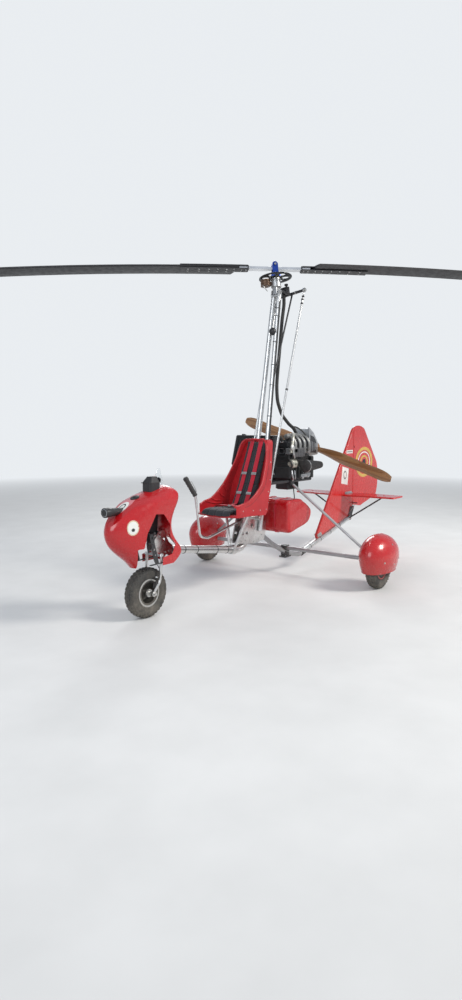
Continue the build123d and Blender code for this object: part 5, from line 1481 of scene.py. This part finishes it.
# Wheel pants: moulding seam, rim lip and screws
PANT_WASHER = [(-1, 8), (1.2, 8), (1.6, 6.4)]
for side, label in ((1, "left"), (-1, "right")):
    node = f"wheel_pant_{label}"
    middle, rim_middle = Vector((-162, side * TRACK_Y, 292)), Vector((-162, side * TRACK_Y, 164))
    outs = [around(math.pi * k / 24) for k in range(25)]
    arch = touches(node, [(middle + out * 400, -out) for out in outs])
    outs = [around(2 * math.pi * k / 48, FORWARD, PORT) for k in range(49)]
    lip = touches(node, [(rim_middle + out * 400, -out) for out in outs])
    piece(
        f"pant_seam_{label}", "red_shell",
        tube([place + out * 0.2 for place, out in arch], 2.4, 8, 2),
        tube([place + out * 0.4 for place, out in lip], 3.2, 8, 1),
        angle=0,
    )
    rays = [
        ((x, side * TRACK_Y + face * 400, z), -PORT * face)
        for x, z in ((-300, 260), (-20, 260), (-162, 400), (-162, 230)) for face in SIDES
    ]
    piece(
        f"pant_bolts_{label}", BRIGHT,
        [
            [lathe(place, out, PANT_WASHER, 18), bolt(place + out * 1.2, out, 4)]
            for place, out in touches(node, rays)
        ],
        slot="frame_silver",
    )


# Floor, lamps and world. The floor fades to the backdrop; a faint band stays at the horizon
BACKDROP = (0.82, 0.85, 0.88)
FADE_START, FADE_END, FLOOR_REACH = 3.5, 13, 60


def make_stage():
    floor = Finish("floor")
    paper = floor.noise(3, 3)
    floor.set(
        colour=floor.mix(floor.spread(paper, 0.3, 0.7), (0.66, 0.66, 0.65), (0.70, 0.70, 0.69)),
        rough=0.9,
        normal=floor.bump(floor.noise(60, 4), 0.05),
    )
    sockets = floor.shader.inputs
    distance = floor.node("ShaderNodeVectorMath", operation="LENGTH")
    floor.join(floor.place(), distance.inputs[0])
    far = floor.spread(distance.outputs["Value"], FADE_START, FADE_END)
    floor.join(floor.mix(far, (0, 0, 0), BACKDROP), sockets["Emission Color"])
    floor.join(far, sockets["Emission Strength"])
    near_colour = sockets["Base Color"].links[0].from_socket
    floor.join(floor.mix(far, near_colour, (0, 0, 0)), sockets["Base Color"])
    floor.join(floor.spread(far, 0, 1, 0.5, 0), sockets["Specular IOR Level"])
    mesh = bpy.data.meshes.new("floor")
    square = ((-1, -1), (1, -1), (1, 1), (-1, 1))
    corners = [(FLOOR_REACH * x, FLOOR_REACH * y, 0) for x, y in square]
    mesh.from_pydata(corners, [], [(0, 1, 2, 3)])
    mesh.materials.append(floor.material)
    add("floor", mesh)

    world = bpy.data.worlds.new("studio")
    bpy.context.scene.world = world
    world.use_nodes = True
    tree = world.node_tree
    light = tree.nodes["Background"]
    seen, ray, either, choose = [
        tree.nodes.new(f"ShaderNode{kind}")
        for kind in ("Background", "LightPath", "Math", "MixShader")
    ]
    for node, colour, strength in ((light, (0.80, 0.86, 0.95), 0.62), (seen, BACKDROP, 1.0)):
        node.inputs["Color"].default_value = (*colour, 1)
        node.inputs["Strength"].default_value = strength
    either.operation = "MAXIMUM"
    for output, socket in (
        (ray.outputs["Is Camera Ray"], either.inputs[0]),
        (ray.outputs["Is Transmission Ray"], either.inputs[1]),
        (either.outputs[0], choose.inputs[0]),
        (light.outputs[0], choose.inputs[1]),
        (seen.outputs[0], choose.inputs[2]),
        (choose.outputs[0], tree.nodes["World Output"].inputs["Surface"]),
    ):
        tree.links.new(output, socket)

    make_light("key", (-2.5, 8.5, 7.5), (0.3, 0, 1.0), 3.5, 900, (1, 0.96, 0.9))
    make_light("fill", (9, 2.5, 4.5), (0.6, 0, 1.0), 5, 260, (0.93, 0.96, 1))
    make_light("rim", (-7, -6, 6), (-0.4, 0, 1.2), 4, 320)


make_camera()
make_stage()
bpy.context.scene.view_settings.view_transform = "Standard"

# The CAD's own nodes are smooth up to their edges
for node in nodes.values():
    node.modifiers.new("edges", "EDGE_SPLIT").split_angle = math.radians(CAD_SHARP)
